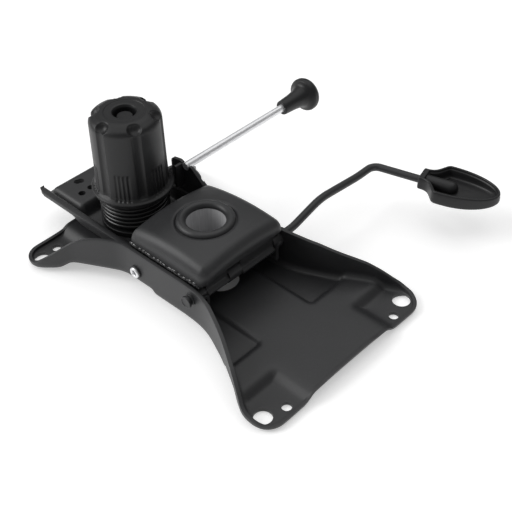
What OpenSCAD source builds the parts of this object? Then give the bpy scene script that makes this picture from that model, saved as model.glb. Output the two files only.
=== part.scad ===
// Chair push back mechanism, shown as it lies on its seat side.
// The seat plate is below, the tension knob points up, -X is the knob end and +Y the lever side.
// The origin is the centre of the four large seat holes, on the underside of the seat plate's pads.

/* [Seat plate] */
// Thickness of the pressed seat plate
sheet = 2.5; // [2:0.1:3.5]
// Length between the large seat holes, along X
hole_pitch_x = 222.8; // [210:0.2:240]
// Width between the large seat holes, along Y
hole_pitch_y = 141.2; // [135:0.2:150]
// Radius of the large seat holes
seat_hole_r = 6.4; // [4:0.1:7]
// Radius of the small seat holes
screw_hole_r = 3.55; // [2.5:0.05:4.5]
// How far the small rear holes lie behind the large ones
rear_screw_dx = 5.5; // [3:0.1:6]
// How far the small front holes lie in front of the large ones
front_screw_dx = 1.65; // [0:0.05:3]
// Width between the small rear holes
rear_screw_pitch = 109.4; // [104:0.2:112]
// Width between the small front holes
front_screw_pitch = 112.8; // [104:0.2:114]
// Distance from the large holes to the plate's ends
end_margin = 13.2; // [12:0.1:16]
// Distance from the large holes to the plate's outer corners, along Y
side_margin = 9.8; // [9:0.1:14]
// Gap between the flanges at the waist and the base's lips
flange_gap = 1.9; // [0.3:0.1:4]
// Height of the raised middle above the pads
plateau_rise = 6; // [4:0.5:7]
// Height of the flanges' top at the waist
flange_top = 35.6; // [34:0.2:40]
// Depth of the two pockets pressed into the middle
pocket_depth = 3; // [1:0.5:3.5]
// Rear end of the pockets
pocket_rear = 72.5; // [60:0.5:78]
// Front end of the pockets
pocket_front = -20; // [-30:1:0]
// Inner edge of the near pocket
near_pocket_edge = 27; // [22:0.5:32]
// Inner edge of the far pocket
far_pocket_edge = 20; // [18:0.5:32]
// Radius of the clearance hole in the middle
middle_hole_r = 13.2; // [8:0.2:15]
// Place of the clearance hole, along X
middle_hole_x = 7; // [0:0.5:12]
// Place of the clearance hole, along Y
middle_hole_y = -2.5; // [-6:0.5:6]

/* [Pivot and stops] */
// Place of the pivot axis, along X
pivot_x = 21.3; // [18:0.1:22]
// Height of the pivot axis
pivot_z = 26.8; // [25.5:0.1:28]
// Outer radius of the pivot sleeves
sleeve_r = 5; // [4.5:0.1:5.5]
// Radius of the sleeves' narrow outer end
sleeve_nose_r = 4; // [3.6:0.1:4.4]
// Place of the stop pins, along X
stop_x = -34.5; // [-38:0.1:-33]
// Height of the stop pins
stop_z = 18; // [17:0.1:19]
// Radius of the stop pins
stop_r = 4; // [3:0.1:4.5]
// Radius of the hollow in the stop pins
stop_hollow_r = 2.2; // [1:0.1:2.5]
// Radius of the washers on the stop pins
stop_washer_r = 5; // [4.5:0.1:7]

/* [Base channel] */
// Thickness of the base's sheet
base_sheet = 2.5; // [2:0.1:2.6]
// Half width between the channel's walls
channel_half = 33; // [32:0.1:33.2]
// Width of the outward lips, with the wall
lip_reach = 6.4; // [5:0.1:6.5]
// Height of the lips' top
lip_top = 28.5; // [27.5:0.1:30]
// Height of the channel's floor
floor_top = 15; // [14.5:0.1:15.5]
// Front end of the base
base_front = -152; // [-156:1:-150]
// Rear end of the base
base_rear = 28; // [27.5:0.1:30]
// Rear end of the channel's floor
floor_rear = 12; // [6:0.5:14]
// Height of the raised front platform
platform_top = 25; // [22:0.5:25]
// Half width of the platform's top
platform_half = 25; // [20:0.5:26]
// Front end of the platform's top
platform_front = -146.5; // [-148:0.5:-144]
// Rear end of the platform
platform_rear = -113.5; // [-118:0.5:-113]

/* [Cover and socket] */
// Front end of the cover
cover_front = -48.5; // [-52:0.5:-46]
// Height of the cover's crown
cover_top = 53.4; // [51:0.2:55]
// Radius of the cover's top edges
cover_edge_r = 8; // [5:0.5:12]
// Radius of the cover's upright corners
cover_corner_r = 6.5; // [4:0.5:12]
// Fall of the cover's crown towards its front and rear end
cover_bow = 3.6; // [1:0.1:5]
// Place of the socket's axis, along X
socket_x = -7.3; // [-9:0.1:-6]
// Radius of the socket's mouth
mouth_r = 14; // [12.5:0.1:14.2]
// Diameter that the socket's taper loses per unit of length
socket_taper = 0.05; // [0.04:0.005:0.06]
// Outer radius of the socket's tube
tube_r = 17.5; // [17:0.1:18]
// Outer radius of the socket's collar
collar_r = 21; // [20:0.2:22]
// Height of the collar above the cover's recess
collar_rise = 4.4; // [3:0.1:7]
// Depth of the round recess in the cover
recess_depth = 1.2; // [0.6:0.1:1.4]
// Height of the socket's lower end
tube_bottom = 24; // [23.5:0.1:25]

/* [Tension] */
// Place of the tension bolt, along X
bolt_x = -84.2; // [-86:0.1:-83]
// Radius of the tension bolt
bolt_r = 6; // [5:0.1:6.5]
// Height of the bolt's upper end
bolt_top = 104.6; // [96:0.2:106]
// Outer radius of the spring
spring_r = 26; // [22:0.2:26.2]
// Diameter of the spring's wire
wire_d = 3; // [2:0.1:3.1]
// Number of the spring's turns
spring_turns = 6; // [5:1:6]
// Height of the lower spring seat
seat_ring_h = 4.4; // [3:0.1:5]
// Height of the spring between its seats
spring_h = 25.2; // [24.8:0.1:26]
// Radius of the knob's skirt
skirt_r = 30.2; // [28:0.1:31]
// Radius of the knob's body
knob_r = 26.4; // [25:0.1:27]
// Height of the knob's top
knob_top = 108.4; // [106:0.2:114]
// Radius of the hole in the knob's top
knob_hole_r = 8.6; // [7:0.1:9.5]
// Number of grooves round the knob
knob_grooves = 6; // [4:1:8]
// Radius of the knob's grooves
groove_r = 6; // [4:0.1:7]
// Depth of the knob's grooves
groove_depth = 1.3; // [0.6:0.1:2]
// Radius of the round dents over the grooves
dent_r = 5.6; // [4:0.1:6.5]
// Height of the grip lines at the foot of the knob
grip_h = 22; // [10:1:30]

/* [Height lever] */
// Radius of the lever's rod
rod_r = 3; // [2.6:0.1:3.2]
// Width at which the rod starts to rise
rod_bend_y = 58; // [56:0.5:62]
// Width of the rod's crest
rod_crest_y = 88; // [84:0.5:94]
// Width at which the rod is level again
rod_level_y = 131; // [124:0.5:134]
// Height by which the rod rises outside the plate
rod_rise = 8.6; // [4:0.1:12]
// Height by which it falls again
rod_fall = 4.2; // [2:0.1:6]
// Width at which the rod turns to the rear
rod_turn_y = 150.8; // [145:0.1:165]
// Angle of the rod's outer end from the X axis
rod_turn = 14.7; // [5:0.1:25]
// Distance from the turn to the paddle
paddle_start = 38.5; // [30:0.5:50]
// Length of the rod inside the paddle
rod_grip = 24; // [18:0.5:30]
// Length of the paddle
paddle_l = 61.7; // [55:0.1:75]
// Width of the paddle
paddle_w = 38.2; // [34:0.1:46]
// Width of the paddle's neck
neck_w = 15.2; // [14:0.1:18]
// Height of the paddle
paddle_h = 10.5; // [9:0.1:14]
// Wall of the paddle
paddle_wall = 2.2; // [1.6:0.1:3]
// Height by which the paddle's underside rises to its tip
paddle_rise = 3.2; // [0:0.1:4]

/* [Tilt lock] */
// Place of the lock rod, along X
lock_x = -64.2; // [-66:0.1:-63]
// Height of the lock rod
lock_z = 52; // [50:0.1:54]
// Radius of the lock rod
lock_r = 3; // [2.6:0.1:3.2]
// Place of the lock knob's lip, along Y
lock_knob_y = 140; // [120:1:160]
// Radius of the lock knob's head
lock_knob_r = 13.6; // [11:0.1:15]
// Thickness of the lock slide
slide_w = 4; // [3:0.1:4.4]

/* [Hidden] */
$fn = 48;
black = [0.12, 0.12, 0.13];
plastic = [0.16, 0.16, 0.17];
zinc = [0.78, 0.8, 0.82];
// Clearances: running fit, plain gap between moving pieces, overshoot of a cut
run_gap = 0.06;
gap = 0.3;
over = 1;
// Largest angle between the points of a rounded corner
arc_step = 10;

// Seat plate, derived
waist_half = channel_half + lip_reach + flange_gap + sheet;
rear_x = hole_pitch_x / 2 + end_margin + 0.4;
front_x = -(hole_pitch_x / 2 + end_margin - 0.6);
side_y = hole_pitch_y / 2 + side_margin;
plateau_top = plateau_rise + sheet;
fold = sheet * tan(22.5);
pin_reach = 3.2;
pad_ramp = 5.5;
pad_inner_x = 91;
pad_inner_y = 38;
pad_corner_r = 6;
pocket_corner_r = 5;
half_outline = [[front_x, -side_y - 17, 14], [-84, -waist_half - 19, 30], [-49, -waist_half - 0.6, 30],
    [12, -waist_half, 60], [34, -waist_half - 0.9, 70], [62, -waist_half - 13.2, 110],
    [102.5, -side_y, 14], [rear_x, -side_y, 15]];
outline = concat(half_outline, [for (i = [len(half_outline) - 1:-1:0])
    [half_outline[i][0], -half_outline[i][1], half_outline[i][2]]]);
// Top edge of the rim and flanges, seen from the side
rim_top = [[front_x - over, 5.2, 0], [-107, 6.3, 14], [-74, flange_top, 60], [35, flange_top, 70],
    [84, flange_top - 13, 60], [104, 6.6, 20], [rear_x + over, 4, 0], [rear_x + over, -over, 0],
    [front_x - over, -over, 0]];

// Base, derived; the stop pins leave their slots as the base tilts
tilt_max = 7.5;
stop_swing = (pivot_x - stop_x) * (1 - cos(tilt_max)) + (pivot_z - stop_z) * sin(tilt_max) + 0.2;
wall_out = channel_half + base_sheet;
lip_out = channel_half + lip_reach;
floor_bottom = floor_top - base_sheet;
cover_half = wall_out + base_sheet;
cover_wall_top = 38;
recess_z = cover_top - 1 - recess_depth;
mouth_z = recess_z + collar_rise;
tilt_room = 0.15;

// Tension, derived
spring_z0 = floor_top + seat_ring_h;
spring_z1 = spring_z0 + spring_h;
thrust_h = 2.5;
skirt_z = spring_z1 + thrust_h;
nut_z = 84;
nut_h = 10;
nut_corner = bolt_r * 1.82;

// Lever, derived
flange_at_pivot = waist_half + 0.4;
nose_y = flange_at_pivot + 2.2;
tip_y = nose_y + 2.8;
rod_end_y = -tip_y + over;
rod_z = pivot_z + rod_rise - rod_fall;

// Lock, derived
bracket_y = channel_half + 1.5;
bracket_top = lock_z + 0.5;
slide_gap = 0.4;
slide_z0 = 24.4;
slide_z1 = 31.6;
slide_nose_y = 47.3;

function unit(v) = v / norm(v);
function turned(v, a) = [v[0] * cos(a) - v[1] * sin(a), v[0] * sin(a) + v[1] * cos(a)];
// Points of the arc that rounds corner q between its neighbours p and s, in the plane or in space
function corner_arc(p, q, s, r) =
    r == 0 ? [q] :
    let (u = unit(p - q), w = unit(s - q), half = acos(u * w) / 2, centre = q + unit(u + w) * r / sin(half),
        from = q + u * r / tan(half) - centre, to = q + w * r / tan(half) - centre, sweep = 180 - 2 * half,
        steps = max(1, ceil(sweep / arc_step)))
    [for (i = [0:steps]) centre + (from * sin(sweep * (1 - i / steps)) + to * sin(sweep * i / steps)) / sin(sweep)];
// Outline whose corners [x, y, r] are rounded
function rounded(c) = [for (i = [0:len(c) - 1])
    let (n = len(c), a = c[(i + n - 1) % n], b = c[i], d = c[(i + 1) % n])
    each corner_arc([a[0], a[1]], [b[0], b[1]], [d[0], d[1]], b[2])];
// Corners of the same outline, run anticlockwise, moved inward by t
function inset(c, t) = [for (i = [0:len(c) - 1])
    let (n = len(c), a = c[(i + n - 1) % n], b = c[i], d = c[(i + 1) % n],
        e = unit([b[0] - a[0], b[1] - a[1]]), f = unit([d[0] - b[0], d[1] - b[1]]),
        m = [-e[1], e[0]], k = [-f[1], f[0]], move = t * (m + k) / (1 + m * k),
        r = cross(e, f) > 0 ? max(b[2] - t, 0) : b[2] + t)
    [b[0] + move[0], b[1] + move[1], b[2] == 0 ? 0 : r]];

// A profile [y, z] run along X, and a profile [x, z] run along Y
module along_x(points, x0, x1) {
    translate([x0, 0, 0]) rotate([90, 0, 90]) linear_extrude(x1 - x0) polygon(points);
}
module along_y(points, y0, y1) {
    translate([0, y1, 0]) rotate([90, 0, 0]) linear_extrude(y1 - y0) polygon(points);
}
module rod_y(x, z, r, y0, y1) {
    translate([x, y0, z]) rotate([-90, 0, 0]) cylinder(r = r, h = y1 - y0);
}
// A tube of flat-sided rings swept along a path of points, its frame carried on without twist
module tube(path, r, sides) {
    n = len(path);
    along = [for (i = [0:n - 1]) unit(path[min(i + 1, n - 1)] - path[max(i - 1, 0)])];
    start = unit(cross(along[0], [0.1, 0.2, 1]));
    out = [for (i = 0, v = start; i < n; i = i + 1, v = i < n ? unit(v - along[i] * (along[i] * v)) : v) v];
    rings = [for (i = [0:n - 1]) for (k = [0:sides - 1])
        path[i] + r * (out[i] * cos(360 * k / sides) + cross(along[i], out[i]) * sin(360 * k / sides))];
    last = (n - 1) * sides;
    walls = [for (i = [0:n - 2]) for (k = [0:sides - 1])
        let (a = i * sides + k, b = i * sides + (k + 1) % sides)
        each [[a, a + sides, b], [b, a + sides, b + sides]]];
    first_cap = [for (k = [1:sides - 2]) [0, k, k + 1]];
    last_cap = [for (k = [1:sides - 2]) [last, last + k + 1, last + k]];
    polyhedron(rings, concat(walls, first_cap, last_cap));
}
module block(lo, hi) {
    translate(lo) cube(hi - lo);
}
module both_sides() {
    children();
    mirror([0, 1, 0]) children();
}

// A round corner between two sloping walls: a cone from height z0 to z1 with a cylinder up to top
module corner(x, y, r, deep, z0, z1, top) {
    translate([x, y, z0]) cylinder(r1 = r - deep, r2 = r, h = z1 - z0);
    translate([x, y, z1]) cylinder(r = r, h = top - z1);
}
// Region over the four pads, bounded by ramps that start at x and y on height z1 and end on height z0
module pad_regions(x, y, z0, z1, top) {
    side = [[x + pad_ramp, z0], [rear_x + over, z0], [rear_x + over, top], [x, top], [x, z1]];
    across = [[y + pad_ramp, z0], [side_y + over, z0], [side_y + over, top], [y, top], [y, z1]];
    cx = pad_inner_x + pad_corner_r;
    cy = pad_inner_y + pad_corner_r;
    for (sx = [0, 1], sy = [0, 1])
        mirror([sx, 0, 0]) mirror([0, sy, 0]) {
            along_y(side, cy, side_y + over);
            along_x(across, cx, rear_x + over);
            corner(cx, cy, cx - x, pad_ramp, z0, z1, top);
        }
}
// A pocket with sloping walls, from height z0 up to z1, whose upper edges are moved out by grow
module pocket(edge, z0, z1, top, grow) {
    deep = z1 - z0;
    x0 = pocket_front - grow;
    x1 = pocket_rear + grow;
    y = edge - grow;
    cy = edge + pocket_corner_r;
    r = pocket_corner_r + grow;
    along_y([[x0 + deep, z0], [x1 - deep, z0], [x1, z1], [x1, top], [x0, top], [x0, z1]], cy, side_y);
    along_x([[y + deep, z0], [side_y, z0], [side_y, top], [y, top], [y, z1]], x0 + r, x1 - r);
    for (x = [x0 + r, x1 - r]) corner(x, cy, r, deep, z0, z1, top);
}
module pockets(z0, z1, top, grow) {
    mirror([0, 1, 0]) pocket(near_pocket_edge, z0, z1, top, grow);
    pocket(far_pocket_edge, z0, z1, top, grow);
}
// Rim across an end, highest in the middle
module end_rim(x0, x1, height) {
    along_x([[-46, -over], [46, -over], [46, 4], [pad_inner_y, height - 1], [28, height],
        [-28, height], [-pad_inner_y, height - 1], [-46, 4]], x0, x1);
}
module seat_blank() {
    intersection() {
        linear_extrude(flange_top + over) polygon(rounded(outline));
        union() {
            along_y(rounded(rim_top), -side_y - over, side_y + over);
            end_rim(90, rear_x + over, plateau_top + 1.5);
            end_rim(front_x - over, -90, plateau_top + 0.4);
        }
    }
}
module seat_holes() {
    hole_x = hole_pitch_x / 2;
    for (sy = [-1, 1]) {
        for (sx = [-1, 1])
            translate([sx * hole_x, sy * hole_pitch_y / 2, -over]) cylinder(r = seat_hole_r, h = 10);
        translate([hole_x + rear_screw_dx, sy * rear_screw_pitch / 2, -over]) cylinder(r = screw_hole_r, h = 10);
        translate([-hole_x - front_screw_dx, sy * front_screw_pitch / 2, -over])
            cylinder(r = screw_hole_r, h = 10);
    }
    translate([middle_hole_x, middle_hole_y, 0]) cylinder(r = middle_hole_r, h = 20);
    translate([bolt_x, 0, 0]) cylinder(r = bolt_r, h = 20);
}
module seat_plate() {
    color(black) difference() {
        seat_blank();
        difference() {
            block([front_x - over, -side_y - over, -2 * over], [rear_x + over, side_y + over, plateau_rise]);
            pad_regions(pad_inner_x - fold, pad_inner_y - fold, -2 * over, plateau_rise, plateau_rise + over);
            pockets(plateau_rise - pocket_depth, plateau_rise, plateau_rise + over, fold);
        }
        intersection() {
            linear_extrude(flange_top + 2 * over) polygon(rounded(inset(outline, sheet)));
            union() {
                block([front_x, -side_y, plateau_top], [rear_x, side_y, flange_top + 2 * over]);
                pad_regions(pad_inner_x, pad_inner_y, sheet, plateau_top, plateau_top + over);
                pockets(plateau_top - pocket_depth, plateau_top, plateau_top + over, 0);
            }
        }
        seat_holes();
        rod_y(pivot_x, pivot_z, sleeve_r, -side_y, side_y);
        rod_y(stop_x, stop_z, stop_r, -side_y, side_y);
        block([lock_x - slide_w / 2 - gap, waist_half + 1.5, slide_z0 - gap],
            [lock_x + slide_w / 2 + gap, side_y, slide_z1 + gap]);
    }
}

// Hollow pins, pressed into the flanges, on which the base rests at the front
module stop_pins() {
    color(zinc) both_sides() difference() {
        rod_y(stop_x, stop_z, stop_r, channel_half - 0.6, waist_half + pin_reach);
        rod_y(stop_x, stop_z, stop_hollow_r, waist_half, waist_half + pin_reach + over);
    }
}
module stop_washers() {
    color(black) both_sides() difference() {
        rod_y(stop_x, stop_z, stop_washer_r, waist_half + 0.75, waist_half + 2);
        rod_y(stop_x, stop_z, stop_r, waist_half, waist_half + pin_reach);
    }
}
// Hollow pins of the pivot, pressed into the flanges, with the lever's rod through them
module pivot_sleeves() {
    color(black) both_sides() difference() {
        union() {
            rod_y(pivot_x, pivot_z, sleeve_r, channel_half + 0.4, flange_at_pivot - 0.3);
            rod_y(pivot_x, pivot_z, sleeve_nose_r, flange_at_pivot - 0.6, nose_y);
        }
        rod_y(pivot_x, pivot_z, rod_r + run_gap, channel_half, nose_y + over);
    }
}
module tension_bolt() {
    color(zinc) translate([bolt_x, 0, 0]) {
        translate([0, 0, 0.6]) cylinder(r = nut_corner, h = plateau_rise - 0.6, $fn = 6);
        translate([0, 0, plateau_rise - over]) cylinder(r = bolt_r, h = bolt_top - plateau_rise + over);
    }
}

// Pressed channel with outward lips, a raised front platform and holes for the pivot, stops and bolt
module channel_shell() {
    profile = [[-lip_out, lip_top], [-lip_out, lip_top - base_sheet], [-wall_out, lip_top - base_sheet],
        [-wall_out, floor_bottom], [wall_out, floor_bottom], [wall_out, lip_top - base_sheet],
        [lip_out, lip_top - base_sheet], [lip_out, lip_top], [channel_half, lip_top],
        [channel_half, floor_top], [-channel_half, floor_top], [-channel_half, lip_top]];
    along_x(profile, base_front, base_rear);
    intersection() {
        cover_form(base_sheet);
        both_sides() block([cover_front, channel_half, lip_top - over], [base_rear, wall_out, cover_wall_top]);
    }
}
module platform(shrink) {
    low = floor_top - shrink;
    half = platform_half - shrink / 2;
    intersection() {
        along_x([[-half - 4, floor_bottom - shrink], [half + 4, floor_bottom - shrink], [half + 4, low],
            [half, platform_top - shrink], [-half, platform_top - shrink], [-half - 4, low]],
            base_front - over, platform_rear + over);
        along_y([[platform_front - 4 + shrink / 2, floor_bottom - shrink],
            [platform_rear - shrink, floor_bottom - shrink], [platform_rear - shrink, platform_top - shrink],
            [platform_front + shrink / 2, platform_top - shrink], [platform_front - 4 + shrink / 2, low]],
            -channel_half, channel_half);
    }
}
module base_plan() {
    corner_in = lip_out - 5.4;
    linear_extrude(60) polygon(rounded([[base_front, -corner_in, 4], [base_front + 6.3, -lip_out, 6],
        [base_rear, -lip_out, 0], [base_rear, lip_out, 0], [base_front + 6.3, lip_out, 6],
        [base_front, corner_in, 4]]));
}
module base_channel() {
    color(black) difference() {
        intersection() {
            union() {
                channel_shell();
                platform(0);
            }
            base_plan();
        }
        platform(base_sheet);
        block([floor_rear, -channel_half, floor_bottom - over], [base_rear + over, channel_half, floor_top + over]);
        translate([bolt_x, 0, 0]) cylinder(r = bolt_r + 3, h = floor_top + over);
        rod_y(pivot_x, pivot_z, sleeve_r + run_gap, -lip_out - over, lip_out + over);
        both_sides() {
            rod_y(stop_x, stop_z, stop_r + tilt_room, channel_half - over, lip_out);
            block([stop_x - stop_r - tilt_room, channel_half - over, floor_bottom - over],
                [stop_x + stop_r + tilt_room + stop_swing, lip_out, stop_z]);
        }
        platform_holes();
    }
}
module platform_holes() {
    translate([-140, -9.4, platform_top - 5]) {
        for (s = [-1, 1]) translate([s * 1.6, 0, 0]) cylinder(r = 2.4, h = 10);
        translate([-1.6, -1.9, 0]) cube([3.2, 3.8, 10]);
    }
    for (p = [[-126.4, -17.5], [-127.2, -8.1]])
        translate([p[0], p[1], platform_top - 5]) cylinder(r = 2.4, h = 10);
}

// Pillow-shaped cover: three rounded profiles meet in one shell of even thickness, bowed along its length
module cover_form(shrink) {
    half = cover_half - shrink;
    x0 = cover_front + shrink;
    x1 = base_rear - shrink;
    top = cover_top - shrink;
    r = cover_edge_r - shrink;
    corner_r = cover_corner_r - shrink;
    low = shrink > 0 ? lip_top - over : lip_top;
    middle = (x0 + x1) / 2;
    span = (x1 - x0) / 2;
    bow_r = pow(base_rear - cover_front, 2) / 8 / cover_bow - shrink;
    bow_angle = asin(0.78 * span / bow_r);
    peak = bow_r * (1 / cos(bow_angle) - 1);
    fall = span * tan(bow_angle) - peak;
    intersection() {
        along_x(rounded([[-half, low, 0], [half, low, 0], [half, top - 1, r], [0, top + 0.3, 90],
            [-half, top - 1, r]]), x0, x1);
        along_y(rounded([[x0, low, 0], [x1, low, 0], [x1, top - fall, r], [middle, top + peak, bow_r],
            [x0, top - fall, r]]), -half, half);
        linear_extrude(80) polygon(rounded([[x0, -half, corner_r], [x1, -half, corner_r], [x1, half, corner_r],
            [x0, half, corner_r]]));
    }
}
module cover() {
    color(black) difference() {
        cover_form(0);
        cover_form(base_sheet);
        translate([socket_x, 0, recess_z]) cylinder(r = collar_r + 1.5, h = 20);
        translate([socket_x, 0, lip_top]) cylinder(r = tube_r, h = 30);
        block([base_rear - 2 * cover_edge_r, -channel_half, lip_top - over],
            [base_rear + over, channel_half, cover_wall_top - 2]);
        rod_y(pivot_x, pivot_z, sleeve_r + 0.5, -cover_half - over, cover_half + over);
    }
}
module taper_socket() {
    low_r = mouth_r - (mouth_z - tube_bottom) * socket_taper / 2;
    color(black) translate([socket_x, 0, 0]) rotate_extrude() polygon(rounded([[low_r, tube_bottom, 0],
        [tube_r, tube_bottom, 0], [tube_r, recess_z, 0], [collar_r, recess_z, 0], [collar_r, mouth_z, 3.4],
        [mouth_r, mouth_z, 3]]));
}
module socket_brace() {
    color(black) difference() {
        block([socket_x - tube_r - 6.2, -channel_half, tube_bottom],
            [pivot_x - rod_r - 3.5, channel_half, tube_bottom + base_sheet]);
        translate([socket_x, 0, tube_bottom - over]) cylinder(r = tube_r, h = base_sheet + 2 * over);
    }
}
module weld_beads() {
    reach = lip_out - cover_half;
    color(black) both_sides()
        along_x(rounded([[cover_half, lip_top, 0], [lip_out, lip_top, 0], [lip_out, lip_top + 4, reach * 0.6],
            [cover_half, lip_top + 4, 0]]), cover_front + cover_edge_r, pivot_x - sleeve_r - 2);
}
module rear_tabs() {
    low = tube_bottom + 0.5;
    x0 = base_rear - base_sheet;
    color(black) {
        along_x(rounded([[-channel_half, low, 0], [-13, low, 2], [-13, cover_wall_top - 2, 0],
            [-channel_half, cover_wall_top - 2, 0]]), x0, base_rear);
        along_x(rounded([[0, low, 2], [channel_half - 0.5, low, 6], [channel_half - 0.5, cover_wall_top - 2, 0],
            [0, cover_wall_top - 2, 0]]), x0, base_rear);
    }
}

// Upright plate on the far lip with a notch for the lock rod and a folded edge beside it
module lock_bracket() {
    notch = lock_r + 0.75;
    notch_z = lock_z - lock_r - 0.4;
    left = -82;
    y1 = bracket_y + base_sheet;
    ear = [[left, lip_top, 0], [cover_front - 0.1, lip_top, 0], [cover_front - 0.1, lock_z - 9, 0],
        [lock_x + notch, bracket_top, 2], [lock_x + notch, notch_z, 2.5], [lock_x - notch, notch_z, 2.5],
        [lock_x - notch, bracket_top - 1, 0.8], [left, bracket_top, 5]];
    color(black) {
        along_y(rounded(ear), bracket_y, y1);
        block([lock_x - notch - base_sheet, bracket_y - 6.5, lock_z - 18],
            [lock_x - notch, bracket_y, bracket_top - 2.2]);
    }
}
// Channel on the far lip's edge that holds the slide upright
module lock_guide() {
    x = slide_w / 2 + slide_gap;
    y1 = waist_half + 1.7;
    color(black) {
        for (s = [0, 1]) translate([lock_x, 0, 0]) mirror([s, 0, 0])
            block([x, lip_out, slide_z0 - 2.9], [x + 2.8, y1, slide_z1 + 12]);
        block([lock_x - x, lip_out, slide_z0 - 2.9], [lock_x + x, y1, slide_z0 - 0.4]);
    }
}

module spring_seat_lower() {
    color(plastic) translate([bolt_x, 0, floor_top]) difference() {
        cylinder(r = spring_r + 0.2, h = seat_ring_h);
        translate([0, 0, -over]) cylinder(r = bolt_r + 3.5, h = seat_ring_h + 2 * over);
        translate([0, 0, 2]) cylinder(r = spring_r - 2 * wire_d, h = seat_ring_h);
    }
}

// One unbroken wire: a helix of round turns with a straight end, one wire thick, at each side
coil_steps = 8;
coil_r = spring_r - wire_d / 2;
coil_pitch = (spring_h - wire_d - 0.2) / spring_turns;
function coil_point(turns) = [coil_r * cos(360 * turns), coil_r * sin(360 * turns), coil_pitch * turns];
coil_path = concat([coil_point(0) - [0, wire_d, 0]],
    [for (i = [0:coil_steps * spring_turns]) coil_point(i / coil_steps)],
    [coil_point(spring_turns) + [0, wire_d, 0]]);
coil_gaps = [for (i = [0:len(coil_path) - coil_steps]) for (j = [i + coil_steps - 2:min(i + coil_steps + 2,
    len(coil_path) - 1)]) norm(coil_path[i] - coil_path[j]) - wire_d];
echo(least_gap_between_turns = min(coil_gaps));
module tension_spring() {
    color(black) translate([bolt_x, 0, spring_z0 + wire_d / 2 + 0.1]) tube(coil_path, wire_d / 2, 6);
}
module spring_seat_upper() {
    color(plastic) translate([bolt_x, 0, spring_z1]) difference() {
        cylinder(r = spring_r + 0.2, h = thrust_h);
        translate([0, 0, -over]) cylinder(r = bolt_r + 0.4, h = thrust_h + 2 * over);
    }
}

// Fluted knob, hollow up to the nut, with a dent over each groove and grip lines between the grooves
module tension_knob() {
    ring_r = skirt_r - 1.2;
    lower_z = spring_z1 - 1.1;
    step = 360 / knob_grooves;
    first = 36;
    line_r = 0.8;
    color(plastic) translate([bolt_x, 0, 0]) difference() {
        rotate_extrude() polygon(rounded([[spring_r + 0.5, lower_z, 0], [ring_r, lower_z, 0.8],
            [ring_r, skirt_z - 2.1, 0], [skirt_r, skirt_z - 1.9, 0.4], [skirt_r, skirt_z + 0.4, 1],
            [knob_r + 0.3, skirt_z + 1.6, 0.4], [knob_r - 0.6, knob_top - 3.8, 2.6], [knob_r - 7.2, knob_top, 8],
            [knob_hole_r, knob_top, 0.6], [knob_hole_r, nut_z + nut_h + 1.2, 0],
            [bolt_r + 0.6, nut_z + nut_h + 1.2, 0], [bolt_r + 0.6, nut_z, 0], [knob_r - 4.4, nut_z, 3],
            [knob_r - 4.4, skirt_z, 0], [spring_r + 0.5, skirt_z, 0]]));
        translate([0, 0, nut_z - over]) cylinder(r = nut_corner + 0.1, h = nut_h + over, $fn = 6);
        for (i = [0:knob_grooves - 1]) rotate([0, 0, i * step + first]) {
            translate([knob_r + groove_r - groove_depth, 0, skirt_z + 2.2])
                cylinder(r = groove_r, h = knob_top - skirt_z - 6);
            translate([knob_r - 3.8, 0, knob_top - 1.1]) sphere(r = dent_r);
            for (k = [-1.5:1.5]) rotate([0, 0, step / 2 + k * 6.6])
                translate([knob_r + line_r - 0.2, 0, skirt_z + 2.2]) cylinder(r = line_r, h = grip_h, $fn = 16);
        }
    }
}
module knob_nut() {
    color(zinc) translate([bolt_x, 0, nut_z]) difference() {
        cylinder(r = nut_corner, h = nut_h, $fn = 6);
        translate([0, 0, -over]) cylinder(r = bolt_r + run_gap, h = nut_h + 2 * over);
    }
}

// The rod runs through the sleeves, rises, falls again and turns to the rear
module lift_rod() {
    end = turned([paddle_start + rod_grip, 0], rod_turn);
    corners = [[pivot_x, rod_bend_y - 10, pivot_z, 0], [pivot_x, rod_bend_y, pivot_z, 25],
        [pivot_x, rod_crest_y, pivot_z + rod_rise, 45], [pivot_x, rod_level_y, rod_z, 60],
        [pivot_x, rod_turn_y, rod_z, 8], [pivot_x + end[0], rod_turn_y + end[1], rod_z, 0]];
    route = [for (i = [0:len(corners) - 1])
        let (p = corners[max(i - 1, 0)], q = corners[i], s = corners[min(i + 1, len(corners) - 1)])
        each corner_arc([p[0], p[1], p[2]], [q[0], q[1], q[2]], [s[0], s[1], s[2]], q[3])];
    color(black) {
        rod_y(pivot_x, pivot_z, rod_r, rod_end_y, rod_bend_y - 8);
        tube(route, rod_r - run_gap, 12);
    }
}
module lift_tongue() {
    tip_x = socket_x - 6;
    color(black) difference() {
        union() {
            rod_y(pivot_x, pivot_z, rod_r + 3, -12.4, -0.6);
            along_y([[pivot_x - 1, pivot_z - 6], [pivot_x - 4, pivot_z - 4], [socket_x + 14, tube_bottom - 3.8],
                [tip_x, tube_bottom - 3.8], [tip_x, tube_bottom - 6.6], [socket_x + 15, tube_bottom - 6.6]], -6, 6);
        }
        rod_y(pivot_x, pivot_z, rod_r, -13, 6 + over);
    }
}
module lever_caps() {
    color(black) {
        difference() {
            rod_y(pivot_x, pivot_z, rod_r + 0.5, -tip_y, -tip_y + 1.8);
            rod_y(pivot_x, pivot_z, rod_r, -tip_y + over, -tip_y + 3);
        }
        difference() {
            rod_y(pivot_x, pivot_z, rod_r + 2.5, nose_y + 0.3, nose_y + 1.5);
            rod_y(pivot_x, pivot_z, rod_r, nose_y, nose_y + 2);
        }
    }
}
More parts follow.
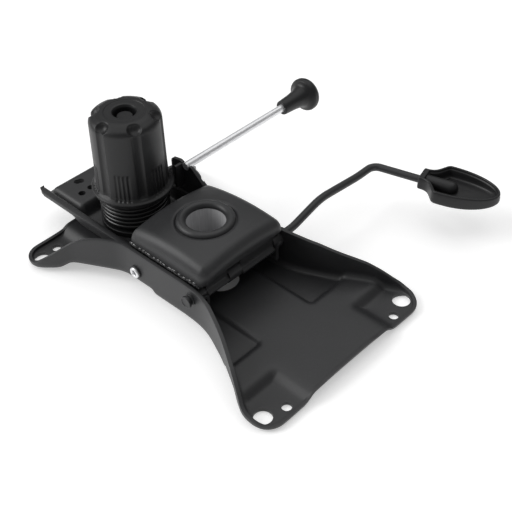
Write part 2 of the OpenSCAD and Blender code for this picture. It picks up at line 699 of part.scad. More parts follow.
// Spade-shaped tray with a half-round socket for the rod; u runs along the rod's outer end
module paddle() {
    u0 = paddle_start;
    u1 = paddle_start + 0.35 * paddle_l;
    half = paddle_w / 2;
    neck = neck_w / 2;
    nose = [for (a = [-80:10:80]) [u1 + (paddle_l - u1 + u0) * cos(a), half * sin(a), 0]];
    plan = concat([[u0, -neck, 1], [u0 + 8, -neck, 8], [u0 + 0.26 * paddle_l, -half, 4], [u1, -half, 0]], nose,
        [[u1, half, 0], [u0 + 0.26 * paddle_l, half, 4], [u0 + 8, neck, 8], [u0, neck, 1]]);
    floor_z = rod_z - rod_r - 0.9;
    rim_z = floor_z + paddle_h;
    boss = rod_r + 2.3;
    keel = [[u0 - over, floor_z], [u0 + 0.5 * paddle_l, floor_z], [u0 + 0.8 * paddle_l, floor_z + paddle_rise / 3],
        [u0 + paddle_l, floor_z + paddle_rise], [u0 + paddle_l, rim_z], [u0 - over, rim_z]];
    bed = [for (i = [0:3]) keel[i] + [0, paddle_wall]];
    color(plastic) translate([pivot_x, rod_turn_y, 0]) rotate([0, 0, rod_turn]) difference() {
        intersection() {
            linear_extrude(rim_z) polygon(rounded(plan));
            along_y(keel, -half - over, half + over);
        }
        difference() {
            intersection() {
                linear_extrude(rim_z + over) polygon(rounded(inset(plan, paddle_wall)));
                along_y(concat(bed, [[u0 + paddle_l, rim_z + over], [u0 - over, rim_z + over]]), -half, half);
                translate([u0 + 5, -half, 0]) cube([paddle_l, paddle_w, rim_z + over]);
            }
            translate([u0, 0, rod_z]) rotate([0, 90, 0]) cylinder(r = boss, h = rod_grip + 1.5);
            translate([u0 + rod_grip + 1.5, 0, rod_z]) sphere(r = boss);
        }
        translate([u0 - over, 0, rod_z]) rotate([0, 90, 0]) cylinder(r = rod_r, h = rod_grip + over);
    }
}
module lock_rod() {
    color(zinc) rod_y(lock_x, lock_z, lock_r, bracket_y - 0.3, lock_knob_y + 22);
}
module lock_slide() {
    color(black) difference() {
        translate([lock_x - slide_w / 2, 0, 0]) along_x([[bracket_y + 3.1, lock_z - lock_r + 0.6],
            [bracket_y + 3.1, lip_top + 0.5], [lip_out + 0.8, lip_top + 0.5], [lip_out + 0.8, slide_z0],
            [slide_nose_y, slide_z0], [slide_nose_y, slide_z1], [lip_out + 1.4, slide_z1],
            [lip_out + 1.4, lock_z - lock_r + 0.6]], 0, slide_w);
        rod_y(lock_x, lock_z, lock_r, 0, 60);
    }
}
module lock_knob() {
    rim_y = 26;
    color(plastic) translate([lock_x, lock_knob_y, lock_z]) rotate([-90, 0, 0]) difference() {
        rotate_extrude() polygon(rounded([[0, 0, 0], [5.6, 0, 0.8], [6.6, 12, 0], [8.4, 22, 3],
            [lock_knob_r, rim_y - 2, 2], [lock_knob_r, rim_y + 3, 3], [8, rim_y + 9.6, 8], [0, rim_y + 9.8, 0]]));
        translate([0, 0, -over]) cylinder(r = lock_r, h = 23);
    }
}

seat_plate();
stop_pins();
stop_washers();
pivot_sleeves();
tension_bolt();
base_channel();
cover();
taper_socket();
socket_brace();
weld_beads();
rear_tabs();
lock_bracket();
lock_guide();
spring_seat_lower();
tension_spring();
spring_seat_upper();
tension_knob();
knob_nut();
lift_rod();
lift_tongue();
lever_caps();
paddle();
lock_rod();
lock_slide();
lock_knob();
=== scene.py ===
import math

import bmesh
import bpy
import numpy as np
from mathutils import Matrix, Vector


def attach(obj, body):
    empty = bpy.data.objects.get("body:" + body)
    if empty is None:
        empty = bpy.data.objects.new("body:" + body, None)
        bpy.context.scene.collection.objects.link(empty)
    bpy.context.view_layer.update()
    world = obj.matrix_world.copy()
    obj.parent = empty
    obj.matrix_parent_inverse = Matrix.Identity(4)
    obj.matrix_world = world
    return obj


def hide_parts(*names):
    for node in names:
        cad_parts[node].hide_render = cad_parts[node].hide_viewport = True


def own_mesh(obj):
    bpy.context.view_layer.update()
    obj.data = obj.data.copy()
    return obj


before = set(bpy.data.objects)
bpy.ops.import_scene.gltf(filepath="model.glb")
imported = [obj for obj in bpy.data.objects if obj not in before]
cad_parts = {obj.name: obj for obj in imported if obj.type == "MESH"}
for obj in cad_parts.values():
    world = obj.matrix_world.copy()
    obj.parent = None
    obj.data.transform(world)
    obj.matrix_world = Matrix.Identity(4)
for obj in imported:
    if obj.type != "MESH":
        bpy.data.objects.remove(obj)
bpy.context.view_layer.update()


# Seat plate: one steel sheet, pressed with four low pads, two pockets and a rim that
# rises into tall flanges at the waist. It is powder coated black, and the seat board
# is bolted through the large holes in the pads.
MM = 0.001
SHEET = 2.5
PAD_X, PAD_Y, PAD_RAMP = 91.0, 38.0, 5.5
PLATEAU, POCKET = 6.0, 3.0
# The near half of the plate's plan as x, y and corner radius, and its rim's height along x
SEAT_CORNERS = [(-124.0, -97.4, 14), (-84, -62.8, 30), (-49, -44.4, 30), (12, -43.8, 60),
                (34, -44.7, 70), (62, -57, 110), (102.5, -80.4, 14), (125, -80.4, 15)]
RIM_TOP = [(-125, 5.2), (-118, 5.3), (-107, 6.6), (-98, 13), (-90, 20.6), (-82, 27.8),
           (-74, 32.5), (-64, 35.0), (-50, 35.6), (28, 35.6), (38, 34.8), (52, 31.8),
           (82, 22.0), (92, 16.0), (100, 9.8), (108, 6.6), (126, 4)]
# Round holes as x, y and radius: for the seat board, for screws, and the clearance in the middle
BOARD_HOLES = [(s * 111.4, t * 70.6, 6.4) for s in (-1, 1) for t in (-1, 1)]
SCREW_HOLES = [(116.9, 54.7, 3.55), (116.9, -54.7, 3.55), (-113.05, 56.4, 3.55), (-113.05, -56.4, 3.55)]
CLEARANCE_HOLE = (7, -2.5, 13.2)
LOCK_X, SLOT_Z = -64.2, 28.0


class Wire:
    """A shader socket for written sums, products and powers: each operator adds a Math node."""

    def __init__(self, tree, socket):
        self.tree, self.socket = tree, socket

    def math(self, operation, *operands):
        return add(self.tree, "ShaderNodeMath", {"operation": operation}, dict(enumerate(operands)))

    def __add__(self, other):
        return self.math("ADD", self, other)

    def __sub__(self, other):
        return self.math("SUBTRACT", self, other)

    def __rsub__(self, other):
        return self.math("SUBTRACT", other, self)

    def __mul__(self, other):
        return self.math("MULTIPLY", self, other)

    def __pow__(self, other):
        return self.math("POWER", self, other)

    __radd__, __rmul__ = __add__, __mul__

    def between(self, low, high):
        """0 below low, 1 above high and a straight run between them."""
        inputs = {"Value": self, "From Min": low, "From Max": high}
        return add(self.tree, "ShaderNodeMapRange", {"clamp": True}, inputs)


def add(tree, kind, settings=None, inputs=None, output=0):
    """Adds a node of a kind, sets its settings, then feeds its sockets with values or wires."""
    node = tree.nodes.new(kind)
    for key, value in (settings or {}).items():
        setattr(node, key, value)
    for key, value in (inputs or {}).items():
        if isinstance(value, Wire):
            tree.links.new(value.socket, node.inputs[key])
        else:
            node.inputs[key].default_value = value
    return None if output is None else Wire(tree, node.outputs[output])


def finish(name, fixed, varying):
    """A material with one Principled shader: fixed values, and the wires varying(tree, place) returns."""
    material = bpy.data.materials.new(name)
    material.use_nodes = True
    tree = material.node_tree
    tree.nodes.clear()
    place = add(tree, "ShaderNodeTexCoord", output=3)
    shader = add(tree, "ShaderNodeBsdfPrincipled", None, {**fixed, **varying(tree, place)})
    add(tree, "ShaderNodeOutputMaterial", None, {"Surface": shader}, None)
    return material


def noise(tree, place, size, detail=2.0, stretch=None):
    """Soft noise whose blots are about size millimetres across, drawn out by stretch along X, Y and Z."""
    if stretch:
        place = add(tree, "ShaderNodeMapping", None, {"Vector": place, "Scale": [1 / s for s in stretch]})
    inputs = {"Vector": place, "Scale": 1 / (size * MM), "Detail": detail}
    return add(tree, "ShaderNodeTexNoise", None, inputs)


def shade(tree, wire, dark, light):
    """A colour between dark and light grey values, mixed by a wire."""
    return add(tree, "ShaderNodeMix", {"data_type": "RGBA"}, {0: wire, 6: (*dark, 1), 7: (*light, 1)}, 2)


GRAIN_DEPTH = 0.12 * MM


def coat(dark, light, rough, grain, bump):
    """Powder coat or moulded skin: blotchy colour, uneven gloss, specks of dust and a fine grain."""
    def varying(tree, place):
        blots = noise(tree, place, 24, 3)
        fine = noise(tree, place, grain, 2)
        dust = noise(tree, place, 1.6, 0).between(0.72, 0.78)
        tone = blots * 0.6 + fine * 0.25 + dust * 0.35
        height = fine + 0.35 * noise(tree, place, grain * 3.1, 1)
        inputs = {"Strength": bump, "Distance": GRAIN_DEPTH, "Height": height}
        normal = add(tree, "ShaderNodeBump", None, inputs)
        return {"Base Color": shade(tree, tone, dark, light),
                "Roughness": rough + 0.1 * (blots - 0.5) + 0.07 * dust, "Normal": normal}
    return varying


def grid_faces(rows, columns, closed=False, first=0):
    """Quads between neighbouring points of a grid; closed joins the last column to the first one."""
    row = np.arange(rows - 1)[:, None]
    column = np.arange(columns if closed else columns - 1)[None]
    a = first + row * columns + column
    b = first + row * columns + (column + 1) % columns
    return np.stack([a, b, b + columns, a + columns], -1).reshape(-1, 4)


def rounded(corners, step=3.0, closed=True):
    """An outline or path whose corners (..., radius) each give way to an arc that touches both sides."""
    c = np.array(corners, float)
    out = []
    for i in range(len(c)):
        p, q, s, r = c[i - 1, :-1], c[i, :-1], c[(i + 1) % len(c), :-1], c[i, -1]
        if not closed and i in (0, len(c) - 1):
            out.append(q[None])
            continue
        u, w = (p - q) / np.linalg.norm(p - q), (s - q) / np.linalg.norm(s - q)
        half = math.acos(np.clip(u @ w, -1, 1)) / 2
        if r <= 0 or half > math.radians(89.5):
            out.append(q[None])
            continue
        reach = r / math.tan(half)
        centre = q + (u + w) / np.linalg.norm(u + w) * r / math.sin(half)
        a, b = q + u * reach - centre, q + w * reach - centre
        sweep = math.pi - 2 * half
        t = np.linspace(0, 1, max(2, int(math.degrees(sweep) / step) + 1))[:, None]
        out.append(centre + (a * np.sin(sweep * (1 - t)) + b * np.sin(sweep * t)) / math.sin(sweep))
    return np.concatenate(out)


def length_along(points):
    """The length of a line of points up to each of them: the running sum of the steps between them."""
    return np.concatenate([[0], np.cumsum(np.linalg.norm(np.diff(points, axis=0), axis=1))])


def even(loop, count):
    """The closed outline again, as count points at even steps along it."""
    ring = np.vstack([loop, loop[:1]])
    run = length_along(ring)
    at = np.arange(count) / count * run[-1]
    return np.stack([np.interp(at, run, ring[:, k]) for k in range(ring.shape[1])], 1)


def outward(loop):
    """Unit normals of an anticlockwise closed outline: its tangents, turned a quarter turn clockwise."""
    t = np.roll(loop, -1, 0) - np.roll(loop, 1, 0)
    t /= np.linalg.norm(t, axis=1)[:, None]
    return np.stack([t[:, 1], -t[:, 0]], 1)


def blur(values, width):
    """Values along a closed line, each the mean of its neighbours with weights of a bell of that width."""
    k = np.arange(-3 * width, 3 * width + 1)
    bell = np.exp(-0.5 * (k / width) ** 2)
    bell /= bell.sum()
    return sum(w * np.roll(values, int(s), 0) for w, s in zip(bell, k))


def patch(loop, nu, nv):
    """Coons patch inside 2 (nu + nv) points: the two blends of facing sides, less that of the corners."""
    low, right = loop[:nu + 1], loop[nu:nu + nv + 1]
    high = loop[nu + nv:2 * nu + nv + 1][::-1]
    left = np.vstack([loop[2 * nu + nv:], loop[:1]])[::-1]
    u, v = np.linspace(0, 1, nu + 1)[:, None, None], np.linspace(0, 1, nv + 1)[None, :, None]
    across = (1 - v) * low[:, None] + v * high[:, None]
    along = (1 - u) * left[None] + u * right[None]
    corners = ((1 - u) * (1 - v) * low[0] + u * (1 - v) * low[-1]
               + (1 - u) * v * high[0] + u * v * high[-1])
    return across + along - corners


def pressed(loop, nu, nv, height, rows):
    """A pressed sheet: the patch inside loop lifted to height(x, y), with rows of wall points round it."""
    flat = patch(loop, nu, nv).reshape(-1, 2)
    index = np.arange((nu + 1) * (nv + 1)).reshape(nu + 1, nv + 1)
    edge = np.concatenate([index[:-1, 0], index[-1, :-1], index[:0:-1, -1], index[0, :0:-1]])
    n = len(loop)
    points = np.vstack([np.column_stack([flat, height(flat[:, 0], flat[:, 1])])] + list(rows))
    inner = grid_faces(nu + 1, nv + 1)[:, ::-1]
    first = (nu + 1) * (nv + 1)
    ring = np.arange(n)
    after = (ring + 1) % n
    joint = np.stack([edge, first + ring, first + after, edge[after]], 1)
    wall = grid_faces(len(rows), n, True, first)[:, [0, 3, 2, 1]]
    return points, np.vstack([inner, joint, wall])


def tidy(points, faces):
    """Drops the points that no face uses."""
    used = np.unique(faces)
    number = np.full(len(points), -1)
    number[used] = np.arange(len(used))
    return points[used], number[faces]


def punch(points, faces, inside, snap):
    """Cuts a hole: faces whose middle is inside go, and snap moves the points that are left round it."""
    gone = inside(points[faces].mean(1))
    rim = np.intersect1d(np.unique(faces[gone]), np.unique(faces[~gone]))
    points = points.copy()
    points[rim] = snap(points[rim])
    return tidy(points, faces[~gone])


def punch_round(points, faces, x, y, r):
    """A round hole through a sheet that lies flat: its rim points move straight out or in to the circle."""
    centre = np.array([x, y])

    def snap(p):
        d = p[:, :2] - centre
        return np.column_stack([centre + r * d / np.linalg.norm(d, axis=1)[:, None], p[:, 2]])
    return punch(points, faces, lambda m: np.linalg.norm(m[:, :2] - centre, axis=1) < r, snap)


def normals(points, faces):
    """Unit normals of the points: the summed cross products of the diagonals of the faces round each."""
    p = points[faces]
    n = np.cross(p[:, 2] - p[:, 0], p[:, 3] - p[:, 1])
    total = np.zeros_like(points)
    for k in range(4):
        np.add.at(total, faces[:, k], n)
    return total / np.maximum(np.linalg.norm(total, axis=1), 1e-12)[:, None]


def thicken(points, faces, thickness):
    """Both skins of a sheet, half the thickness to each side along the normals, and its closed edges."""
    n = normals(points, faces) * thickness / 2
    count = len(points)
    a = faces.ravel()
    b = faces[:, [1, 2, 3, 0]].ravel()
    key = np.minimum(a, b) * count + np.maximum(a, b)
    _, where, times = np.unique(key, return_index=True, return_counts=True)
    open_edge = where[times == 1]
    a, b = a[open_edge], b[open_edge]
    rim = np.stack([b, a, a + count, b + count], 1)
    return np.vstack([points + n, points - n]), np.vstack([faces, faces[:, ::-1] + count, rim])


WELD_GAP = 2e-7


def piece(name, points, faces, body, nodes, material, bevel=0.0, sharp=None, weld=False):
    """Makes a mesh of points in millimetres and groups of faces, which rides on a body for its nodes."""
    mesh = bpy.data.meshes.new(name)
    loops = [f for group in faces for f in np.asarray(group).tolist()]
    mesh.from_pydata((np.asarray(points) * MM).tolist(), [], loops)
    mesh.update()
    work = bmesh.new()
    work.from_mesh(mesh)
    if weld:
        bmesh.ops.remove_doubles(work, verts=work.verts, dist=WELD_GAP)
    bmesh.ops.recalc_face_normals(work, faces=work.faces)
    work.to_mesh(mesh)
    work.free()
    mesh.shade_smooth()
    if sharp:
        mesh.set_sharp_from_angle(angle=math.radians(sharp))
    made = bpy.data.objects.new(name, mesh)
    bpy.context.scene.collection.objects.link(made)
    mesh.materials.append(material)
    if bevel:
        rounding = made.modifiers.new("edges", "BEVEL")
        rounding.width, rounding.segments = bevel * MM, 2
        rounding.limit_method, rounding.angle_limit = "ANGLE", math.radians(45)
        rounding.use_clamp_overlap = True
    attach(made, body)
    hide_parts(*nodes)
    return made


def ramp(d, width, soft):
    """Rises from 0 to 1 as d goes from 0 to width, with both bends rounded over about soft millimetres."""
    def knee(x):
        return (x + np.sqrt(x * x + soft * soft)) / 2
    return (knee(d) - knee(d - width)) / width


def inside_corner(px, py, r):
    """Distance inside a region with a rounded corner, from the distances px and py past its two sides."""
    qx, qy = r - px, r - py
    return r - np.hypot(np.maximum(qx, 0), np.maximum(qy, 0)) - np.minimum(np.maximum(qx, qy), 0)


def seat_height(x, y):
    """Middle of the sheet: the plateau, less the ramps to the pads and the pockets beside the flanges."""
    pads = inside_corner(np.abs(x) - PAD_X, (np.abs(y) - PAD_Y) * 0.8, 5.0)
    z = SHEET / 2 + PLATEAU * (1 - ramp(pads, PAD_RAMP, 2.2))
    for side, edge in ((-1, 27.0), (1, 20.0)):
        pocket = inside_corner(np.minimum(x + 20, 72.5 - x), side * y - edge, 5.0)
        z = z - POCKET * ramp(pocket, 2.6, 0.8)
    return z


steel_black = finish("black powder coat", {"Specular IOR Level": 0.5, "IOR": 1.5},
                     coat((0.0135, 0.0138, 0.0148), (0.034, 0.0345, 0.0365), 0.46, 0.9, 0.35))

outline = rounded(SEAT_CORNERS + [(x, -y, r) for x, y, r in SEAT_CORNERS[::-1]])
NU, NV = 208, 116
count = 2 * (NU + NV)
ring = np.vstack([outline, outline[:1]])
run = length_along(ring)


def share_of(x, y):
    """How far along the plate's outline, as a share of it, the point nearest to x and y lies."""
    return run[np.argmin(np.hypot(outline[:, 0] - x, outline[:, 1] - y))] / run[-1]


# The patch's corners lie at the middle of the plate's rounded corners
stops = [share_of(-119.5, -93.5), share_of(120.5, -76.5), share_of(120.5, 76.5), share_of(-119.5, 93.5)]
spans = []
for k, n in enumerate((NU, NV, NU, NV)):
    a, b = stops[k], stops[(k + 1) % 4]
    b += 1 if b < a else 0
    spans.append(a + (b - a) * np.arange(n) / n)
at = np.concatenate(spans) % 1 * run[-1]
loop = np.stack([np.interp(at, run, ring[:, k]) for k in range(2)], 1)
# The far flange stands in a little, and dips, where the lock's slot is cut into it
lock_side = (loop[:, 1] > 30) * np.clip(1.6 - np.abs(loop[:, 0] + 72) / 18, 0, 1)
loop[:, 1] -= 2.0 * lock_side
loop = blur(loop, 1.5)
out = outward(loop)
middle_line = loop - out * SHEET / 2
# Along the two ends the rim is low at the pads and a little higher between them
rim_z = np.interp(loop[:, 0], *np.array(RIM_TOP).T)
at_end = np.abs(loop[:, 0]) > 117
between_pads = 1 - ramp(np.abs(loop[:, 1]) - 26, 17, 6)
end_z = np.where(loop[:, 0] > 0, 4.0 + 6.0 * between_pads, 5.2 + 3.7 * between_pads)
rim_z = np.where(at_end, end_z, rim_z)
rim_z -= 2.2 * (loop[:, 1] > 0) * np.clip(1.5 - np.abs(loop[:, 0] + 60) / 18, 0, 1)
rim_z = blur(rim_z, 2)
# The bend at the rim's foot is as wide as the rise allows, so it is found in three rounds
foot = middle_line.copy()
bend = np.full(count, 4.0)
for _ in range(3):
    rise = rim_z - seat_height(foot[:, 0], foot[:, 1])
    bend = blur(np.clip(0.7 * rise, 1.1, 5.5), 2)
    foot = middle_line - out * bend[:, None]
floor_z = seat_height(foot[:, 0], foot[:, 1])
rows = []
for angle in np.radians([15, 30, 45, 60, 75, 90]):
    xy = foot + out * (bend * math.sin(angle))[:, None]
    rows.append(np.column_stack([xy, floor_z + bend * (1 - math.cos(angle))]))
low = floor_z + bend
for t in np.linspace(0, 1, 11)[1:]:
    rows.append(np.column_stack([middle_line, low + (np.maximum(rim_z, low + 0.3) - low) * t]))
points, faces = pressed(foot, NU, NV, seat_height, rows)
for x, y, r in BOARD_HOLES + SCREW_HOLES + [CLEARANCE_HOLE]:
    points, faces = punch_round(points, faces, x, y, r)


# How far the far flange runs in Y for each millimetre of X at the lock's slot
at_slot = np.argmin(np.hypot(loop[:, 0] - LOCK_X, loop[:, 1] - 52))
lean = -out[at_slot, 0] / out[at_slot, 1]


def slot_share(p):
    """Distance from the lock slot's middle as a share of the way to its edge, a box with round corners."""
    return (np.abs((p[:, 0] - LOCK_X) / 3.3) ** 5 + np.abs((p[:, 2] - SLOT_Z) / 4.7) ** 5) ** 0.2


def to_slot_edge(p):
    """Moves points in the flange along the sheet to the slot's edge."""
    share = slot_share(p)
    x = LOCK_X + (p[:, 0] - LOCK_X) / share
    return np.column_stack([x, p[:, 1] + (x - p[:, 0]) * lean, SLOT_Z + (p[:, 2] - SLOT_Z) / share])


points, faces = punch(points, faces, lambda m: (slot_share(m) < 1) & (m[:, 1] > 30), to_slot_edge)
points, faces = thicken(points, faces, SHEET)
piece("pressed_seat_plate", points, [faces], "seat", ["seat_plate"], steel_black, bevel=0.45)


# Stop pins, washers and pivot sleeves: turned steel parts that are pressed into the flanges.
# The hollow stop pins are left bright and rolled over at the end, the rest is coated.
STOP_X, STOP_Z = -34.5, 18.0
PIVOT_X, PIVOT_Z = 21.3, 26.8


def lathe(profile, count=72):
    """A profile (radius, height) turned once round the Z axis: x = r cos t, y = r sin t."""
    r, h = np.array(profile, float).T
    t = np.arange(count) / count * 2 * math.pi
    grid = np.stack([r[:, None] * np.cos(t), r[:, None] * np.sin(t), np.repeat(h[:, None], count, 1)], -1)
    return grid.reshape(-1, 3), grid_faces(len(r), count, True)


def along_y(points, x, z, side=1):
    """Points about the Z axis, turned to lie about an axis along Y at x and z, on either side."""
    return np.column_stack([points[:, 0] + x, points[:, 2] * side, z - side * points[:, 1]])


def both(profile, x, z):
    """The same turned part on the near and the far side: its points twice, with the faces renumbered."""
    points, faces = lathe(profile, 48)
    pair = np.vstack([along_y(points, x, z, side) for side in (-1, 1)])
    return pair, np.vstack([faces, faces + len(points)])


def zinc_look(tree, place):
    """Zinc plate: drawn along Y, with faint lengthwise streaks and a slightly cloudy gloss."""
    streaks = noise(tree, place, 1.0, 3, (0.5, 30, 0.5))
    clouds = noise(tree, place, 9, 2)
    inputs = {"Strength": 0.15, "Distance": 0.05 * MM, "Height": streaks}
    tone = streaks * 0.6 + clouds * 0.4
    return {"Base Color": shade(tree, tone, (0.80, 0.81, 0.83), (0.95, 0.95, 0.96)),
            "Roughness": 0.24 + 0.14 * clouds,
            "Normal": add(tree, "ShaderNodeBump", None, inputs)}


zinc = finish("bright zinc", {"Metallic": 0.6}, zinc_look)


# Hollow pin, rolled outwards to a soft lip round its bore
pin = rounded([(0, 32.4, 0), (4, 32.4, 0.6), (4, 45.4, 0), (4.2, 45.8, 0.3), (4.2, 47.0, 0.9),
               (2.1, 47.0, 0.8), (2.0, 43.5, 0), (0, 43.1, 0)], 12, False)
points, faces = both(pin, STOP_X, STOP_Z)
piece("bright_stop_pins", points, [faces], "seat", ["stop_pins"], zinc, weld=True, sharp=50)

# Washer under the pin's lip, with softened edges
washer = rounded([(4.05, 44.0, 0), (4.9, 44.0, 0.2), (4.9, 45.6, 0.4), (4.05, 45.6, 0.2),
                  (4.05, 44.0, 0)], 15, False)
points, faces = both(washer, STOP_X, STOP_Z)
piece("pin_washers", points, [faces], "seat", ["stop_washers"], steel_black,
      weld=True, sharp=50)

# Pivot sleeve: a shoulder through the flange and a narrower nose outside it
sleeve = rounded([(3.06, 33.4, 0), (5, 33.4, 0.4), (5, 44.4, 0.4), (4.4, 44.5, 0), (4.4, 45.7, 0.4),
                  (3.06, 45.7, 0.2), (3.06, 33.4, 0)], 15, False)
points, faces = both(sleeve, PIVOT_X, PIVOT_Z)
piece("pivot_bushes", points, [faces], "seat", ["pivot_sleeves"], steel_black,
      weld=True, sharp=50)


# Tension bolt: a long hexagon bolt that stands on the seat plate. Its end is seen deep in
# the knob's hole, dull and dark.
BOLT_X, PITCH = -84.2, 1.75
dark_steel = finish("dark oxide steel", {"Metallic": 0.0},
                    coat((0.004, 0.004, 0.0045), (0.014, 0.014, 0.015), 0.6, 0.5, 0.9))
thread = np.arange(0, 41, 0.25)
shank = np.column_stack([5.72 + 0.24 * np.cos(thread * 2 * math.pi / PITCH), 62 + thread])
tip = rounded([(6.0, 103.4, 0), (5.5, 104.5, 0.4), (3.0, 104.5, 0), (0, 104.2, 0)], 15, False)
profile = np.vstack([rounded([(0, 5.6, 0), (6, 5.6, 0), (6, 62, 0)], 10, False), shank, tip])
points, faces = lathe(profile, 48)
angle = np.arange(6) * math.pi / 3
hexagon = np.column_stack([10.9 * np.cos(angle), 10.9 * np.sin(angle)])
head = np.vstack([np.column_stack([hexagon, np.full(6, z)]) for z in (0.6, 6.0)])
walls = np.array([[k, (k + 1) % 6, (k + 1) % 6 + 6, k + 6] for k in range(6)])
number = len(points)
points = np.vstack([points, head]) + (BOLT_X, 0, 0)
ends = [[[number + 5 - k for k in range(6)]], [[number + 6 + k for k in range(6)]]]
piece("tension_bolt_threaded", points, [faces, walls + number] + ends,
      "seat", ["tension_bolt"], dark_steel, weld=True, sharp=40)


# Base channel: a folded steel channel with outward lips. A platform with three holes is
# pressed up at its free front end.
FLOOR_MID, LIP_MID, WALL_MID, LIP_END = 13.75, 27.25, 34.25, 39.4
PLATFORM_MID = FLOOR_MID + 10.0
PLATFORM_FRONT, PLATFORM_REAR, PLATFORM_Y = -151.2, -112.4, 29.5
FRONT_STEP, HOLE = 4.5, 2.8
PLATFORM_HOLES = [(-126.4, -17.5), (-127.2, -8.1)]
PEANUT = np.array([[-139.55, -8.3], [-140.45, -10.5]])
section = rounded([(-LIP_END, LIP_MID, 0), (-WALL_MID, LIP_MID, 2.6), (-WALL_MID, FLOOR_MID, 3.2),
                   (WALL_MID, FLOOR_MID, 3.2), (WALL_MID, LIP_MID, 2.6), (LIP_END, LIP_MID, 0)], 15, False)


def refined(values, limits):
    """Steps along a line: each pair of neighbouring values is split into steps no longer than its limit."""
    counts = [max(1, math.ceil(abs(b - a) / m)) for a, b, m in zip(values, values[1:], limits)]
    parts = [np.linspace(a, b, n + 1)[:-1] for a, b, n in zip(values, values[1:], counts)]
    return np.concatenate(parts + [values[-1:]])


# Across the channel the steps are fine over the floor and finest at the platform's holes
run = length_along(section)
flat = section[:, 1] < FLOOR_MID + 0.01
half_flat = (run[flat][-1] - run[flat][0]) / 2
middle = run[flat][0] + half_flat
floor_steps = middle + refined([-half_flat, -21, -5, 21, half_flat], [1.0, 0.6, 1.2, 1.0])
near_wall = refined(run[:1 + np.argmax(flat)], [1.6] * len(run))
far_wall = refined(run[len(run) - np.argmax(flat[::-1]) - 1:], [1.6] * len(run))
steps = np.concatenate([near_wall[:-1], floor_steps, far_wall[1:]])
yy = np.interp(steps, run, section[:, 0])
zz = np.interp(steps, run, section[:, 1])
xx = refined([-152, -143, -122, -110, -38.65, -28.5, 12, 28], [0.8, 0.65, 1.0, 3.0, 2.5, 3.0, 2.5])
x, y = np.meshgrid(xx, yy, indexing="ij")
z = np.broadcast_to(zz, x.shape).copy()
# The lips' outer corners are rounded off at the front tip
tip = np.clip((-145.2 - x) / 6.8, 0, 1)
limit = LIP_END - 6.0 * (1 - np.sqrt(1 - tip ** 2))
INNER = 37.0
pulled = np.sign(y) * (INNER + (np.abs(y) - INNER) * (limit - INNER) / (LIP_END - INNER))
y = np.where(np.abs(y) > INNER, pulled, y)
on_floor = (z < FLOOR_MID + 0.01) & (np.abs(y) < 31.2)
inside = inside_corner(np.minimum(x - PLATFORM_FRONT, PLATFORM_REAR - x), PLATFORM_Y - np.abs(y), 4.5)
rise = ramp(inside, 3.6, 1.2)
# The front end is shallower: its floor and the feet of its walls lie higher beside the platform
base = FLOOR_MID + FRONT_STEP * ramp(-110 - x, 6, 2)
z = LIP_MID - (LIP_MID - z) * (LIP_MID - base) / (LIP_MID - FLOOR_MID)
z = np.where(on_floor, base + (PLATFORM_MID - base) * rise, z)
points = np.stack([x, y, z], -1).reshape(-1, 3)
faces = grid_faces(len(xx), len(yy))
# The floor ends short at the rear, and the walls are notched round the stop pins
points, faces = punch(points, faces, lambda m: (m[:, 0] > 12) & (m[:, 2] < 14.5), lambda p: p)
points, faces = punch(points, faces, lambda m: (m[:, 0] > -38.65) & (m[:, 0] < -28.5) & (m[:, 2] < 22.1)
                      & (np.abs(m[:, 1]) > 33.5), lambda p: p)


def nearer(p):
    """For each point, the middle of the nearer of the peanut's two merged circles, and the way to it."""
    gap = np.linalg.norm(p[:, None, :2] - PEANUT[None], axis=2)
    return PEANUT[gap.argmin(1)], gap.min(1)


def to_peanut(p):
    """Moves rim points of the peanut hole straight to its nearer circle."""
    centre, gap = nearer(p)
    return np.column_stack([centre + HOLE * (p[:, :2] - centre) / gap[:, None], p[:, 2]])


points, faces = punch(points, faces, lambda m: nearer(m)[1] < HOLE, to_peanut)
for hx, hy in PLATFORM_HOLES:
    points, faces = punch_round(points, faces, hx, hy, HOLE)
points, faces = thicken(points, faces, SHEET)
# A burr of pulled metal hangs round each hole
burr = np.array([(2.75, 22.9), (2.75, 18.2), (3.1, 17.9), (3.4, 18.2), (3.8, 22.9), (2.75, 22.9)])
groups = [faces]
for hx, hy in PLATFORM_HOLES:
    ring, around = lathe(burr, 40)
    groups.append(around + len(points))
    points = np.vstack([points, ring + (hx, hy, 0)])
# The peanut's burr: at each radius, two arcs that meet where the circles cross
along = PEANUT[0] - PEANUT[1]
apart, heading = np.linalg.norm(along) / 2, math.atan2(along[1], along[0])
for r, h in burr:
    reach = np.linspace(-1, 1, 21)[:-1] * math.acos(-apart / r)
    arcs = []
    for turn in (heading, heading + math.pi):
        centre = PEANUT.mean(0) + np.array([np.cos(turn), np.sin(turn)]) * apart
        arcs.append(centre + r * np.column_stack([np.cos(reach + turn), np.sin(reach + turn)]))
    points = np.vstack([points, np.column_stack([np.vstack(arcs), np.full(40, h)])])
groups.append(grid_faces(len(burr), 40, True, len(points) - 40 * len(burr)))
piece("folded_base_channel", points, groups, "base", ["base_channel"], steel_black,
      bevel=0.5, weld=True)


# Cover: a pillow of pressed steel that is welded onto the channel's lips. Its crown is
# hardly domed, its edges are broad and round, and a dished ring takes the socket's collar.
SOCKET_X = -7.3
EDGE, CORNER, INSET = 7.0, 5.4, 3.9
FRONT, REAR, NEAR, FAR = -45.5, 28.9, -38.05, 38.6


def crown(x, y):
    """Middle of the sheet before its edges turn down: domed both ways, and dished round the socket."""
    dome = 53.9 - 3.9 * (y / 37) ** 2 - 3.8 * ((x - 2) / 37) ** 2
    return dome - 1.7 * ramp(22.9 - np.hypot(x - SOCKET_X, y), 0.6, 0.25)


